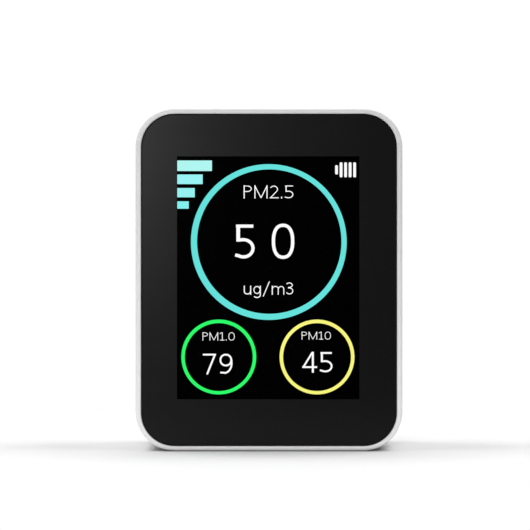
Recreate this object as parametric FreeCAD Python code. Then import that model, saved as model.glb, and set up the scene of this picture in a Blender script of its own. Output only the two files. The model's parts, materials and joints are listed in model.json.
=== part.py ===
import FreeCAD, Part

# Handheld air quality monitor that stands on its own base: a white two-part case, a black front
# window, a colour display, one main board, a laser particle sensor with its fan, and a battery.
# Millimetres. X points right as the display is read, Y points to the rear and Z points up.
# The origin is the centre of the base, half-way through the case's depth.

import math
import os

from FreeCAD import Vector

# ---- case ----
body_width = 63.6
body_height = 81.6
body_depth = 26.0
corner_radius = 9.3
wall = 1.8
rim_width = 1.4
rim_bottom_width = 1.2
rim_round = 0.6
rim_bevel = 0.2
back_round = 3.0
seam_bevel = 0.2
hole_bevel = 0.2
tongue_thickness = 0.8
tongue_height = 1.2
case_clearance = 0.1

# ---- window and its layers ----
window_recess = 0.1
window_gap = 0.1
window_thickness = 1.0
window_bevel = 0.25
mask_thickness = 0.1
tape_thickness = 0.2
tape_inset = 0.6
ledge_thickness = 1.6

# ---- display module ----
display_raise = 0.4
active_width = 43.2
active_height = 57.6
module_width = 50.0
module_top_margin = 3.9
module_bottom_margin = 7.7
module_thickness = 2.4
module_clearance = 0.3
display_gasket_thickness = 0.4
polariser_margin = 1.7
polariser_thickness = 0.2
glass_margin = 2.0
glass_thickness = 0.5
glass_ledge = 4.0
glass_clearance = 0.25
back_plate_thickness = 0.2
display_pad_thickness = 0.6

# ---- display flex ----
flex_width = 17.0
flex_thickness = 0.12
flex_bond = 1.6
flex_clearance = 0.35

# ---- main board ----
board_thickness = 1.2
board_edge_gap = 0.5
board_top_gap = 4.2
board_bottom_setback = 0.7
notch_clearance = 0.4
boss_radius = 1.9
boss_inset = 2.7
boss_lower_inset = 11.1
boss_upper_inset = 13.6

# ---- screws ----
pillar_radius = 2.4
pillar_inset_z = 8.0
tube_radius = 2.8
tube_gap = 0.1
seat_thickness = 2.0
head_sink = 4.5
case_screw_radius = 1.0
case_screw_head_radius = 1.8
case_screw_head = 1.3
case_screw_length = 10.0
board_screw_radius = 0.85
board_screw_head_radius = 1.6
board_screw_head = 0.9
board_screw_length = 3.4
sensor_screw_radius = 0.7
sensor_screw_head_radius = 1.3
sensor_screw_head = 0.7
thread_clearance = 0.02
hole_clearance = 0.15

# ---- charging port ----
port_length = 7.35
port_width = 8.94
port_height = 3.26
port_wall = 0.3
port_z = 30.0
port_recess_width = 12.6
port_recess_height = 6.6
port_recess_depth = 1.3
port_hole_margin = 0.25
contact_board_width = 6.7
contact_board_thickness = 0.7
contact_board_reach = 4.5

# ---- power button and its switch ----
button_x = 14.0
button_length = 9.0
button_width = 3.2
button_gap = 0.2
button_recess = 0.1
button_edge_round = 0.35
flange_overhang = 0.8
flange_thickness = 0.8
flange_gap = 0.15
button_travel = 0.35
switch_width = 6.0
switch_height = 3.6
switch_overhang = 1.6
plunger_length = 2.6
plunger_width = 1.3
plunger_reach = 1.0
plunger_depth = 0.8
plunger_clearance = 0.05

# ---- battery ----
battery_length = 40.0
battery_height = 30.0
battery_thickness = 10.0
battery_base_z = 5.0
battery_round = 1.2
battery_cap_length = 3.0
battery_tape_thickness = 0.5
battery_rib_gap = 0.4
battery_wire_diameter = 0.9
battery_wire_pitch = 2.0

# ---- laser particle sensor ----
sensor_side_gap = 0.1
sensor_height = 37.0
sensor_thickness = 12.0
sensor_top_gap = 1.2
sensor_gasket_thickness = 1.0
lid_thickness = 0.4
lid_skirt = 5.0
lid_clearance = 0.1
tray_wall = 1.2
sensor_board_thickness = 1.0
sensor_rib_gap = 0.3
rib_thickness = 1.0
fan_side_gap = 0.3

# ---- sensor fan ----
fan_size = 20.0
fan_thickness = 8.0
fan_bore_radius = 9.5
fan_floor = 1.0
blade_tip_radius = 9.0
blade_count = 7
blade_pitch = 38.0
hub_radius = 4.4
hub_wall = 0.6
magnet_thickness = 0.5
stator_radius = 2.9
bearing_tube_radius = 1.9
bearing_radius = 1.3
shaft_radius = 0.6
shaft_clearance = 0.03

# ---- laser ----
laser_radius = 2.8
laser_length = 9.0
laser_drop = 12.6
laser_lens_radius = 1.6

# ---- vents ----
vent_rows = 9
vent_pitch = 2.4
vent_height = 1.2
vent_length = 18.0

# ---- wiring between sensor and board ----
wire_count = 8
wire_pitch = 1.25
wire_diameter = 0.6
link_side_gap = 2.4
link_drop = 12.6
plug_depth = 4.4
plug_stand_out = 1.6
plug_wall = 0.5
plug_clearance = 0.1

# ---- planes worked out from the sizes above ----
mid_z = body_height / 2
front_y = -body_depth / 2
rear_y = body_depth / 2
window_front_y = front_y + window_recess
window_back_y = window_front_y + window_thickness
mask_back_y = window_back_y + mask_thickness
ledge_front_y = mask_back_y + tape_thickness
ledge_back_y = ledge_front_y + ledge_thickness
display_front_y = mask_back_y + display_gasket_thickness
front_glass_y = display_front_y + polariser_thickness
rear_glass_y = front_glass_y + glass_thickness
light_panel_y = rear_glass_y + glass_thickness
display_back_y = display_front_y + module_thickness
board_front_y = display_back_y + display_pad_thickness
board_back_y = board_front_y + board_thickness
parting_y = board_back_y + port_height / 2
inner_back_y = rear_y - wall
sensor_back_y = inner_back_y - sensor_gasket_thickness
sensor_front_y = sensor_back_y - sensor_thickness
battery_back_y = inner_back_y - battery_tape_thickness
battery_front_y = battery_back_y - battery_thickness
pillar_top_y = rear_y - head_sink - seat_thickness

cavity_width = body_width - 2 * wall
cavity_height = body_height - 2 * wall
cavity_radius = corner_radius - wall
cavity_top_z = body_height - wall
window_width = body_width - 2 * rim_width
window_height = body_height - rim_width - rim_bottom_width
window_z = (rim_bottom_width + body_height - rim_width) / 2
window_radius = corner_radius - rim_width
active_z = mid_z + display_raise
module_bottom_z = active_z - active_height / 2 - module_bottom_margin
module_top_z = active_z + active_height / 2 + module_top_margin
module_z = (module_bottom_z + module_top_z) / 2
module_height = module_top_z - module_bottom_z
board_bottom_z = module_bottom_z + board_bottom_setback
board_top_z = cavity_top_z - board_top_gap
board_z = (board_bottom_z + board_top_z) / 2
board_width = cavity_width - 2 * board_edge_gap
boss_x = cavity_width / 2 - boss_inset
corner_x = cavity_width / 2 - cavity_radius
corner_drop = max(0.0, wall + cavity_radius - pillar_inset_z)
pillar_x = corner_x + math.sqrt((cavity_radius - tube_radius - tube_gap) ** 2 - corner_drop ** 2)
pillar_spots = [(x, z) for x in (-pillar_x, pillar_x)
                for z in (pillar_inset_z, body_height - pillar_inset_z)]
boss_spots = [(x, z) for x in (-boss_x, boss_x)
              for z in (board_bottom_z + boss_lower_inset, board_top_z - boss_upper_inset)]
sensor_top_z = cavity_top_z - sensor_top_gap
sensor_bottom_z = sensor_top_z - sensor_height
sensor_z = (sensor_top_z + sensor_bottom_z) / 2
sensor_width = 2 * (pillar_x - tube_radius - sensor_side_gap)
tray_width = sensor_width - 2 * (lid_thickness + lid_clearance)
tray_height = sensor_height - 2 * (lid_thickness + lid_clearance)
tray_back_y = sensor_back_y - lid_thickness
fan_x = tray_width / 2 - tray_wall - fan_side_gap - fan_size / 2
intake_x = -fan_x
sensor_board_back_y = sensor_front_y + tray_wall + sensor_board_thickness
fan_front_y = sensor_board_back_y
fan_back_y = fan_front_y + fan_thickness
laser_z = sensor_z - laser_drop
laser_y = sensor_board_back_y + 4.2
battery_top_z = battery_base_z + battery_height
flex_bend_z = module_bottom_z - 0.1
port_mouth_x = cavity_width / 2 - case_clearance
switch_top_z = board_top_z + switch_overhang
plunger_top_z = switch_top_z + plunger_reach
flange_top_z = cavity_top_z - flange_gap
button_top_z = body_height - button_recess

AXES = {
    "x": (Vector(0, 1, 0), Vector(0, 0, 1), Vector(1, 0, 0)),
    "y": (Vector(1, 0, 0), Vector(0, 0, 1), Vector(0, 1, 0)),
    "z": (Vector(1, 0, 0), Vector(0, 1, 0), Vector(0, 0, 1)),
}
TOUCHING = 1e-6


# ---- shape helpers ----
def block(x0, x1, y0, y1, z0, z1):
    return Part.makeBox(x1 - x0, y1 - y0, z1 - z0, Vector(x0, y0, z0))


def place(axis, u_mid, v_mid, along):
    """The point at (u_mid, v_mid) in the plane across an axis, and that far along it."""
    u, v, out = AXES[axis]
    return u * u_mid + v * v_mid + out * along


def rounded_outline(axis, u_mid, v_mid, width, height, radius, along):
    """Closed outline of a rectangle with rounded corners, in the plane across an axis."""
    reach_u = width / 2 - radius
    reach_v = height / 2 - radius
    corners = [(reach_u, reach_v, 0), (-reach_u, reach_v, 90), (-reach_u, -reach_v, 180),
               (reach_u, -reach_v, 270)]
    runs = []
    for corner_u, corner_v, turn in corners:
        points = []
        for step in (0, 45, 90):
            angle = math.radians(turn + step)
            points.append(place(axis, u_mid + corner_u + radius * math.cos(angle),
                                v_mid + corner_v + radius * math.sin(angle), along))
        runs.append(points)
    edges = []
    for points, following in zip(runs, runs[1:] + runs[:1]):
        edges.append(Part.Arc(*points).toShape())
        if (following[0] - points[-1]).Length > TOUCHING:
            edges.append(Part.LineSegment(points[-1], following[0]).toShape())
    return Part.Wire(edges)


def rounded_prism(axis, u_mid, v_mid, width, height, radius, start, end):
    outline = rounded_outline(axis, u_mid, v_mid, width, height, radius, start)
    return Part.Face(outline).extrude(AXES[axis][2] * (end - start))


def flared_prism(axis, u_mid, v_mid, width, height, radius, start, end, flare):
    """Rounded prism that widens in a bevel at its far end."""
    throat_at = end + math.copysign(flare, start - end)
    prism = rounded_prism(axis, u_mid, v_mid, width, height, radius, start, end)
    throat = rounded_outline(axis, u_mid, v_mid, width, height, radius, throat_at)
    mouth = rounded_outline(axis, u_mid, v_mid, width + 2 * flare, height + 2 * flare,
                            radius + flare, end)
    return fused(prism, Part.makeLoft([throat, mouth], True, True))


def cylinder(axis, u_mid, v_mid, radius, start, end):
    return Part.makeCylinder(radius, end - start, place(axis, u_mid, v_mid, start), AXES[axis][2])


def ring(axis, u_mid, v_mid, outer_radius, inner_radius, start, end):
    outer = cylinder(axis, u_mid, v_mid, outer_radius, start, end)
    return outer.cut(cylinder(axis, u_mid, v_mid, inner_radius, start, end))


def edges_in_plane(solid, axis, along):
    """Edges whose ends all lie in the plane across an axis."""
    pick = {"x": lambda p: p.x, "y": lambda p: p.y, "z": lambda p: p.z}[axis]
    found = []
    for edge in solid.Edges:
        if all(abs(pick(corner.Point) - along) < TOUCHING for corner in edge.Vertexes):
            found.append(edge)
    return found


def fused(first, *others):
    return first.fuse(list(others)).removeSplitter() if others else first


def cross_recess(u_mid, v_mid, radius, head_y, depth):
    """Crossed slot that a screwdriver fits, cut into a head that faces the rear."""
    arm = radius * 0.62
    half = radius * 0.16
    upright = block(u_mid - half, u_mid + half, head_y - depth, head_y, v_mid - arm, v_mid + arm)
    level = block(u_mid - arm, u_mid + arm, head_y - depth, head_y, v_mid - half, v_mid + half)
    return upright.fuse(level)


def screw(x, z, shank_radius, head_radius, head_height, length, seat_y):
    """Screw whose head sits on seat_y and faces the rear, with its tip towards the front."""
    head = cylinder("y", x, z, head_radius, seat_y, seat_y + head_height)
    head = head.makeFillet(head_height * 0.35, edges_in_plane(head, "y", seat_y + head_height))
    tip = shank_radius * 0.8
    shank = cylinder("y", x, z, shank_radius, seat_y - length + tip, seat_y)
    point = Part.makeCone(shank_radius, shank_radius * 0.35, tip,
                          Vector(x, seat_y - length + tip, z), Vector(0, -1, 0))
    recess = cross_recess(x, z, head_radius, seat_y + head_height, head_height * 0.55)
    return fused(head, shank, point).cut(recess)


def tube_path(name, points):
    """Straight runs joined by tangent arcs, each as large as its two runs allow."""
    edges = []
    radii = []
    start = points[0]
    for before, corner, after in zip(points, points[1:], points[2:]):
        arriving = corner - before
        leaving = after - corner
        shorter = min(arriving.Length, leaving.Length)
        half_turn = arriving.getAngle(leaving) / 2
        setback = 0.45 * shorter
        radius = setback / math.tan(half_turn)
        radii.append(round(radius, 2))
        first = corner - arriving.normalize() * setback
        last = corner + leaving.normalize() * setback
        inward = ((first + last) * 0.5 - corner).normalize()
        middle = corner + inward * (radius / math.cos(half_turn) - radius)
        edges.append(Part.LineSegment(start, first).toShape())
        edges.append(Part.Arc(first, middle, last).toShape())
        start = last
    edges.append(Part.LineSegment(start, points[-1]).toShape())
    path = Part.Wire(edges)
    print(name, "length", round(path.Length, 2), "bend radii", radii)
    return path


def spread_corner(before, corner, after):
    """Replaces a square corner by two points that share its turn, with even runs after it."""
    share = (after - corner).Length / (1 + math.sqrt(2))
    towards_before = (before - corner).normalize()
    towards_after = (after - corner).normalize()
    return [corner + towards_before * share, corner + towards_after * share]


def wire_along(name, points, diameter):
    path = tube_path(name, points)
    outline = Part.Wire(Part.makeCircle(diameter / 2, points[0], points[1] - points[0]))
    tube = path.makePipeShell([outline], True, False)
    expected = math.pi * diameter ** 2 / 4 * path.Length
    print(name, "volume", round(tube.Volume, 3), "of", round(expected, 3))
    return tube


def save(name, *solids):
    """Writes one sub-part, which may be a group of separate solids."""
    pieces = []
    for shape in solids:
        pieces.extend(shape.Solids)
    for piece in pieces:
        if not piece.isValid():
            print("invalid solid in", name)
    group = pieces[0] if len(pieces) == 1 else Part.makeCompound(pieces)
    group.exportStep(os.path.join("parts", name + ".step"))


# ---- openings that cross the seam between the two shells ----
def port_opening():
    outer_x = body_width / 2
    recess = flared_prism("x", parting_y, port_z, port_recess_height, port_recess_width,
                          port_recess_height / 2, outer_x - port_recess_depth, outer_x,
                          hole_bevel)
    hole = rounded_prism("x", parting_y, port_z, port_height + 2 * port_hole_margin,
                         port_width + 2 * port_hole_margin,
                         port_height / 2 + port_hole_margin, cavity_width / 2 - wall, outer_x)
    return fused(recess, hole)


def button_opening():
    return flared_prism("z", button_x, parting_y, button_length + 2 * button_gap,
                        button_width + 2 * button_gap, button_width / 2 + button_gap,
                        cavity_top_z - wall, body_height, hole_bevel)


def port_surround(grow):
    """Length of the seam beside the port where the two shells meet without tongue or groove."""
    half = port_recess_width / 2 + wall / 2 + grow
    return block(cavity_width / 2 - wall, body_width / 2, parting_y - body_depth / 2,
                 parting_y + body_depth / 2, port_z - half, port_z + half)


def case_block(start, end):
    return rounded_prism("y", 0, mid_z, body_width, body_height, corner_radius, start, end)


def cavity_block(start, end, grow=0.0):
    return rounded_prism("y", 0, mid_z, cavity_width + 2 * grow, cavity_height + 2 * grow,
                         cavity_radius + grow, start, end)


# ---- case ----
def window_pocket():
    return flared_prism("y", 0, window_z, window_width + 2 * window_gap,
                        window_height + 2 * window_gap, window_radius + window_gap,
                        ledge_front_y, front_y, rim_bevel)


def module_room():
    """Opening in the ledge for the display module, which also clears the pillars beside it."""
    return block(-module_width / 2 - module_clearance, module_width / 2 + module_clearance,
                 ledge_front_y, display_back_y + case_clearance,
                 module_bottom_z - module_clearance, module_top_z + module_clearance)


def flex_notch():
    """Relief in the ledge for the flex where it turns round the board's lower edge."""
    half = flex_width / 2 + 2 * flex_clearance
    lowest = flex_bend_z - flex_bend_radius() - flex_thickness / 2 - flex_clearance
    return block(-half, half, rear_glass_y - flex_thickness - flex_clearance, ledge_back_y,
                 lowest, module_bottom_z)


def front_frame():
    shell = case_block(front_y, parting_y)
    shell = shell.makeFillet(rim_round, edges_in_plane(shell, "y", front_y))
    shell = shell.makeChamfer(seam_bevel, edges_in_plane(shell, "y", parting_y))
    shell = shell.cut(cavity_block(ledge_back_y, parting_y))
    shell = shell.cut(window_pocket())
    tongue = cavity_block(parting_y - tongue_height, parting_y + tongue_height, tongue_thickness)
    tongue = tongue.cut([cavity_block(parting_y - tongue_height, parting_y + tongue_height),
                         port_surround(case_clearance)])
    additions = [tongue]
    for x, z in pillar_spots:
        additions.append(cylinder("y", x, z, pillar_radius, ledge_back_y, pillar_top_y))
        side = math.copysign(1, x)
        edge_x = side * (cavity_width / 2 + case_clearance)
        additions.append(block(min(x, edge_x), max(x, edge_x), ledge_back_y, parting_y,
                               z - rib_thickness / 2, z + rib_thickness / 2))
    for x, z in boss_spots:
        additions.append(cylinder("y", x, z, boss_radius, ledge_back_y, board_front_y))
    shell = fused(shell, *additions)
    cutters = [module_room(), flex_notch(), port_opening(), button_opening()]
    for x, z in pillar_spots:
        cutters.append(cylinder("y", x, z, case_screw_radius + thread_clearance,
                                pillar_top_y - case_screw_length, pillar_top_y))
    for x, z in boss_spots:
        cutters.append(cylinder("y", x, z, board_screw_radius + thread_clearance,
                                board_back_y - board_screw_length - thread_clearance,
                                board_front_y))
    return shell.cut(cutters)


def vent_slots(start, end):
    slots = []
    for row in range(vent_rows):
        z = sensor_z + (row - (vent_rows - 1) / 2) * vent_pitch
        for x in (intake_x, fan_x):
            slots.append(flared_prism("y", x, z, vent_length, vent_height, vent_height / 2,
                                      start, end, hole_bevel))
    return slots


def cover_ribs():
    """Ribs inside the rear cover that locate the battery and the particle sensor."""
    ribs = []
    rib_root_y = inner_back_y + case_clearance
    battery_side = battery_length / 2 + battery_rib_gap
    for side in (-1, 1):
        near, far = sorted((side * battery_side, side * (battery_side + rib_thickness)))
        ribs.append(block(near, far, battery_back_y - battery_thickness * 0.55, rib_root_y,
                          battery_base_z + rib_thickness * 4, battery_top_z - rib_thickness * 3))
        sensor_side = sensor_width / 2 + sensor_rib_gap
        near, far = sorted((side * sensor_side, side * (sensor_side + rib_thickness)))
        ribs.append(block(near, far, sensor_back_y - sensor_thickness * 0.5, rib_root_y,
                          sensor_bottom_z + rib_thickness * 5,
                          body_height - pillar_inset_z - tube_radius - rib_thickness * 3))
    shelf_top = sensor_bottom_z - sensor_rib_gap
    ribs.append(block(-battery_length / 2, battery_length / 2,
                      sensor_back_y - sensor_thickness * 0.25, rib_root_y,
                      shelf_top - rib_thickness, shelf_top))
    return ribs


def rear_cover():
    shell = case_block(parting_y, rear_y)
    shell = shell.makeFillet(back_round, edges_in_plane(shell, "y", rear_y))
    shell = shell.makeChamfer(seam_bevel, edges_in_plane(shell, "y", parting_y))
    cavity = cavity_block(parting_y, inner_back_y)
    cavity = cavity.makeFillet(back_round - wall, edges_in_plane(cavity, "y", inner_back_y))
    shell = shell.cut(cavity)
    rabbet = cavity_block(parting_y, parting_y + tongue_height + case_clearance,
                          tongue_thickness + case_clearance)
    shell = shell.cut(rabbet.cut(port_surround(0.0)))
    additions = cover_ribs()
    for x, z in pillar_spots:
        additions.append(cylinder("y", x, z, tube_radius, pillar_top_y,
                                  inner_back_y + case_clearance))
    shell = fused(shell, *additions)
    cutters = [port_opening(), button_opening()] + vent_slots(inner_back_y, rear_y)
    bore_radius = case_screw_head_radius + 2 * hole_clearance
    for x, z in pillar_spots:
        cutters.append(cylinder("y", x, z, case_screw_radius + hole_clearance,
                                pillar_top_y, rear_y))
        cutters.append(cylinder("y", x, z, bore_radius, pillar_top_y + seat_thickness, rear_y))
        cutters.append(Part.makeCone(bore_radius + hole_bevel, bore_radius, hole_bevel,
                                     Vector(x, rear_y, z), Vector(0, -1, 0)))
    return shell.cut(cutters)


def front_window():
    sheet = rounded_prism("y", 0, window_z, window_width, window_height, window_radius,
                          window_front_y, window_back_y)
    return sheet.makeChamfer(window_bevel, edges_in_plane(sheet, "y", window_front_y))


def window_mask():
    """Black film behind the window, with an aperture the size of the picture."""
    film = rounded_prism("y", 0, window_z, window_width, window_height, window_radius,
                         window_back_y, mask_back_y)
    aperture = block(-active_width / 2, active_width / 2, window_back_y, mask_back_y,
                     active_z - active_height / 2, active_z + active_height / 2)
    return film.cut(aperture)


def window_tape():
    outer = rounded_prism("y", 0, window_z, window_width - 2 * tape_inset,
                          window_height - 2 * tape_inset, window_radius - tape_inset,
                          mask_back_y, ledge_front_y)
    reach = module_clearance + tape_inset
    inner = block(-module_width / 2 - reach, module_width / 2 + reach, mask_back_y, ledge_front_y,
                  module_bottom_z - reach, module_top_z + reach)
    return outer.cut(inner)


# ---- display ----
def display_gasket():
    outer = block(-module_width / 2 + module_clearance, module_width / 2 - module_clearance,
                  mask_back_y, display_front_y,
                  module_bottom_z + module_clearance, module_top_z - module_clearance)
    margin = polariser_margin / 2
    inner = block(-active_width / 2 - margin, active_width / 2 + margin,
                  mask_back_y, display_front_y,
                  active_z - active_height / 2 - margin, active_z + active_height / 2 + margin)
    return outer.cut(inner)


def display_layer(margin, drop, start, end):
    """A layer centred on the picture, with a margin all round and a longer lower edge."""
    return block(-active_width / 2 - margin, active_width / 2 + margin, start, end,
                 active_z - active_height / 2 - margin - drop,
                 active_z + active_height / 2 + margin)


def flex_bend_radius():
    return (flex_connector_y() - (rear_glass_y - flex_thickness / 2)) / 2


def flex_connector_y():
    return board_back_y + connector_height * 0.4


def display_driver_chip():
    ledge_top = active_z - active_height / 2 - glass_margin
    return block(-active_width * 0.2, active_width * 0.2, rear_glass_y - 0.3, rear_glass_y,
                 ledge_top - 1.9, ledge_top - 0.7)


def display_frame():
    outer = block(-module_width / 2, module_width / 2, display_front_y,
                  display_back_y - back_plate_thickness, module_bottom_z, module_top_z)
    cell = display_layer(glass_margin + glass_clearance, glass_ledge,
                         display_front_y, light_panel_y)
    bay = display_layer(glass_margin - glass_clearance, glass_ledge * 0.8,
                        light_panel_y, display_back_y)
    exit_half = flex_width / 2 + flex_clearance
    flex_exit = block(-exit_half, exit_half, display_front_y, rear_glass_y,
                      module_bottom_z, active_z - active_height / 2 - glass_margin)
    return outer.cut([cell, bay, flex_exit])


def backlight_panel():
    gap = glass_clearance * 0.4
    return display_layer(glass_margin - glass_clearance - gap, glass_ledge * 0.8 - gap,
                         light_panel_y, display_back_y - back_plate_thickness)


def display_back_plate():
    return rounded_prism("y", 0, module_z, module_width, module_height, 0.6,
                         display_back_y - back_plate_thickness, display_back_y)


def display_flex():
    """Flat flex that leaves the rear glass, turns round the board and enters its connector."""
    radius = flex_bend_radius()
    glass_side_y = rear_glass_y - flex_thickness / 2
    middle_y = glass_side_y + radius
    bond_top = active_z - active_height / 2 - glass_margin - glass_ledge + flex_bond
    half = flex_thickness / 2
    glass_run = block(-flex_width / 2, flex_width / 2, rear_glass_y - flex_thickness,
                      rear_glass_y, flex_bend_z, bond_top)
    connector_y = glass_side_y + 2 * radius
    board_run = block(-flex_width / 2, flex_width / 2, connector_y - half, connector_y + half,
                      flex_bend_z, connector_base_z + connector_slot_depth)
    bend = ring("x", middle_y, flex_bend_z, radius + half, radius - half,
                -flex_width / 2, flex_width / 2)
    lower_half = block(-flex_width, flex_width, middle_y - 2 * radius, middle_y + 2 * radius,
                       flex_bend_z - 2 * radius, flex_bend_z)
    return fused(bend.common(lower_half), glass_run, board_run)


def display_pad():
    return block(-module_width * 0.4, module_width * 0.4, display_back_y, board_front_y,
                 module_z - module_height * 0.3, module_z + module_height * 0.3)


# ---- display connector on the main board ----
connector_width = 20.0
connector_height = 1.3
connector_base_z = board_bottom_z + 5.0
connector_depth = 4.7
connector_slot_depth = 2.6
latch_radius = 0.3
latch_reach = 1.25
latch_pin_radius = 0.2
latch_pin_clearance = 0.03
latch_ear = 0.8
latch_y = board_back_y + connector_height - latch_radius
latch_z = connector_base_z + connector_depth - latch_reach - 0.1


def display_connector():
    half = connector_width / 2
    body = block(-half, half, board_back_y, board_back_y + connector_height,
                 connector_base_z, connector_base_z + connector_depth)
    step = block(-half + latch_ear, half - latch_ear, latch_y - latch_radius - 0.15,
                 board_back_y + connector_height, latch_z - latch_radius - 0.15,
                 connector_base_z + connector_depth)
    gap = flex_thickness / 2 + 0.05
    flex_y = flex_connector_y()
    mouth = block(-flex_width / 2 - 0.1, flex_width / 2 + 0.1, flex_y - gap, flex_y + gap,
                  connector_base_z, connector_base_z + connector_slot_depth + 0.1)
    pin_holes = cylinder("x", latch_y, latch_z, latch_pin_radius + latch_pin_clearance,
                         -half + 0.2, half - 0.2)
    return body.cut([step, mouth, pin_holes])


def display_connector_latch():
    half = connector_width / 2 - latch_ear - 0.1
    knuckle = cylinder("x", latch_y, latch_z, latch_radius, -half, half)
    bar = block(-half, half, latch_y - latch_radius, latch_y + latch_radius,
                latch_z, latch_z + latch_reach)
    pins = cylinder("x", latch_y, latch_z, latch_pin_radius, -half - latch_ear * 0.6,
                    half + latch_ear * 0.6)
    return fused(knuckle, bar, pins)


# ---- main board and what is soldered to it ----
def main_board():
    board = rounded_prism("y", 0, board_z, board_width, board_top_z - board_bottom_z, 1.5,
                          board_front_y, board_back_y)
    reach = pillar_radius + notch_clearance
    cutters = []
    for x, z in pillar_spots:
        side_x = math.copysign(board_width, x)
        end_z = -body_height if z < mid_z else 2 * body_height
        inner_x = x - math.copysign(reach, x)
        inner_z = z + reach if z < mid_z else z - reach
        cutters.append(block(min(inner_x, side_x), max(inner_x, side_x), board_front_y,
                             board_back_y, min(inner_z, end_z), max(inner_z, end_z)))
    for x, z in boss_spots:
        cutters.append(cylinder("y", x, z, board_screw_radius + hole_clearance,
                                board_front_y, board_back_y))
    return board.cut(cutters)


def leaded_chip(x, z, width, height, thickness, pins, pitch, all_sides=False):
    """Moulded chip with a row of short leads on two sides, or on all four."""
    stand_off = 0.1
    body = block(x - width / 2, x + width / 2, board_back_y + stand_off,
                 board_back_y + stand_off + thickness, z - height / 2, z + height / 2)
    body = body.makeChamfer(0.12, edges_in_plane(body, "y", board_back_y + stand_off + thickness))
    lead = pitch * 0.2
    reach = 0.8
    lift = stand_off + thickness * 0.4
    leads = []
    for pin in range(pins):
        offset = (pin - (pins - 1) / 2) * pitch
        for side in (-1, 1):
            near, far = sorted((x + side * width / 2, x + side * (width / 2 + reach)))
            leads.append(block(near, far, board_back_y, board_back_y + lift,
                               z + offset - lead, z + offset + lead))
            if all_sides:
                near, far = sorted((z + side * height / 2, z + side * (height / 2 + reach)))
                leads.append(block(x + offset - lead, x + offset + lead, board_back_y,
                                   board_back_y + lift, near, far))
    return fused(body, *leads)


def chip_row(x, z, count, pitch, length, width, thickness):
    """A row of small two-terminal parts, evenly spaced up the board."""
    return [block(x - length / 2, x + length / 2, board_back_y, board_back_y + thickness,
                  z + k * pitch - width / 2, z + k * pitch + width / 2) for k in range(count)]


controller_x = 2.0
controller_z = board_top_z - 14.0
memory_x = -22.5
memory_z = board_top_z - 22.0
charger_x = 21.0
charger_z = port_z + 11.0
regulator_x = -10.0
regulator_z = sensor_bottom_z - 4.0


def controller_chip():
    return leaded_chip(controller_x, controller_z, 7.0, 7.0, 1.4, 12, 0.5, all_sides=True)


def memory_chip():
    return leaded_chip(memory_x, memory_z, 4.0, 5.0, 1.5, 4, 1.27)


def charger_chip():
    return leaded_chip(charger_x, charger_z, 3.9, 4.9, 1.4, 4, 1.27)


def regulator_chip():
    return leaded_chip(regulator_x, regulator_z, 3.0, 3.0, 1.1, 3, 0.95)


def power_inductor():
    x = charger_x + 0.5
    z = charger_z + 7.0
    base = rounded_prism("y", x, z, 5.0, 5.0, 0.8, board_back_y, board_back_y + 0.6)
    drum = cylinder("y", x, z, 1.9, board_back_y + 0.6, board_back_y + 1.9)
    cap = cylinder("y", x, z, 2.4, board_back_y + 1.9, board_back_y + 2.5)
    return fused(base, drum, cap)


def tank_capacitors():
    cans = []
    for x in (regulator_x - 5.5, regulator_x + 5.5):
        can = block(x - 1.4, x + 1.4, board_back_y, board_back_y + 1.8,
                    regulator_z - 1.75, regulator_z + 1.75)
        cans.append(can.makeChamfer(0.2, edges_in_plane(can, "y", board_back_y + 1.8)))
    return cans


def crystal():
    can = rounded_prism("y", controller_x + 8.0, controller_z, 2.5, 3.2, 0.3,
                        board_back_y, board_back_y + 0.7)
    return can


def chip_capacitors():
    return (chip_row(controller_x - 6.5, controller_z - 4.0, 5, 2.0, 1.6, 0.8, 0.8)
            + chip_row(charger_x - 5.0, charger_z - 3.0, 4, 2.0, 1.6, 0.8, 0.8)
            + chip_row(memory_x, memory_z + 5.0, 3, 1.8, 1.6, 0.8, 0.8))


def chip_resistors():
    return (chip_row(controller_x + 11.5, controller_z - 4.0, 5, 1.6, 1.6, 0.8, 0.45)
            + chip_row(charger_x - 8.0, charger_z - 3.0, 4, 1.6, 1.6, 0.8, 0.45)
            + chip_row(-16.0, connector_base_z, 4, 1.6, 1.6, 0.8, 0.45))


# ---- charging port ----
def port_shell():
    back_x = port_mouth_x - port_length
    outer = rounded_prism("x", parting_y, port_z, port_height, port_width, port_height / 2,
                          back_x, port_mouth_x)
    inner = rounded_prism("x", parting_y, port_z, port_height - 2 * port_wall,
                          port_width - 2 * port_wall, port_height / 2 - port_wall,
                          back_x, port_mouth_x)
    return outer.cut(inner)


def port_contacts():
    """Plastic block that closes the shell's rear, with the thin contact board in its middle."""
    back_x = port_mouth_x - port_length
    plug = rounded_prism("x", parting_y, port_z, port_height - 2 * port_wall,
                         port_width - 2 * port_wall, port_height / 2 - port_wall,
                         back_x, back_x + 1.6)
    half = contact_board_thickness / 2
    board = block(back_x + 1.6, back_x + 1.6 + contact_board_reach,
                  parting_y - half, parting_y + half,
                  port_z - contact_board_width / 2, port_z + contact_board_width / 2)
    return fused(plug, board)


# ---- power button ----
def power_button():
    cap = rounded_prism("z", button_x, parting_y, button_length, button_width, button_width / 2,
                        flange_top_z - flange_thickness, button_top_z)
    cap = cap.makeFillet(button_edge_round, edges_in_plane(cap, "z", button_top_z))
    flange = rounded_prism("z", button_x, parting_y, button_length + 2 * flange_overhang,
                           button_width + 2 * flange_overhang,
                           button_width / 2 + flange_overhang,
                           flange_top_z - flange_thickness, flange_top_z)
    stem = block(button_x - plunger_length / 2, button_x + plunger_length / 2,
                 parting_y - plunger_width / 2, parting_y + plunger_width / 2,
                 plunger_top_z, flange_top_z - flange_thickness)
    return fused(cap, flange, stem)


def plunger_block(grow, low, high):
    return block(button_x - plunger_length / 2 - grow, button_x + plunger_length / 2 + grow,
                 parting_y - plunger_width / 2 - grow, parting_y + plunger_width / 2 + grow,
                 low, high)


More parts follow.
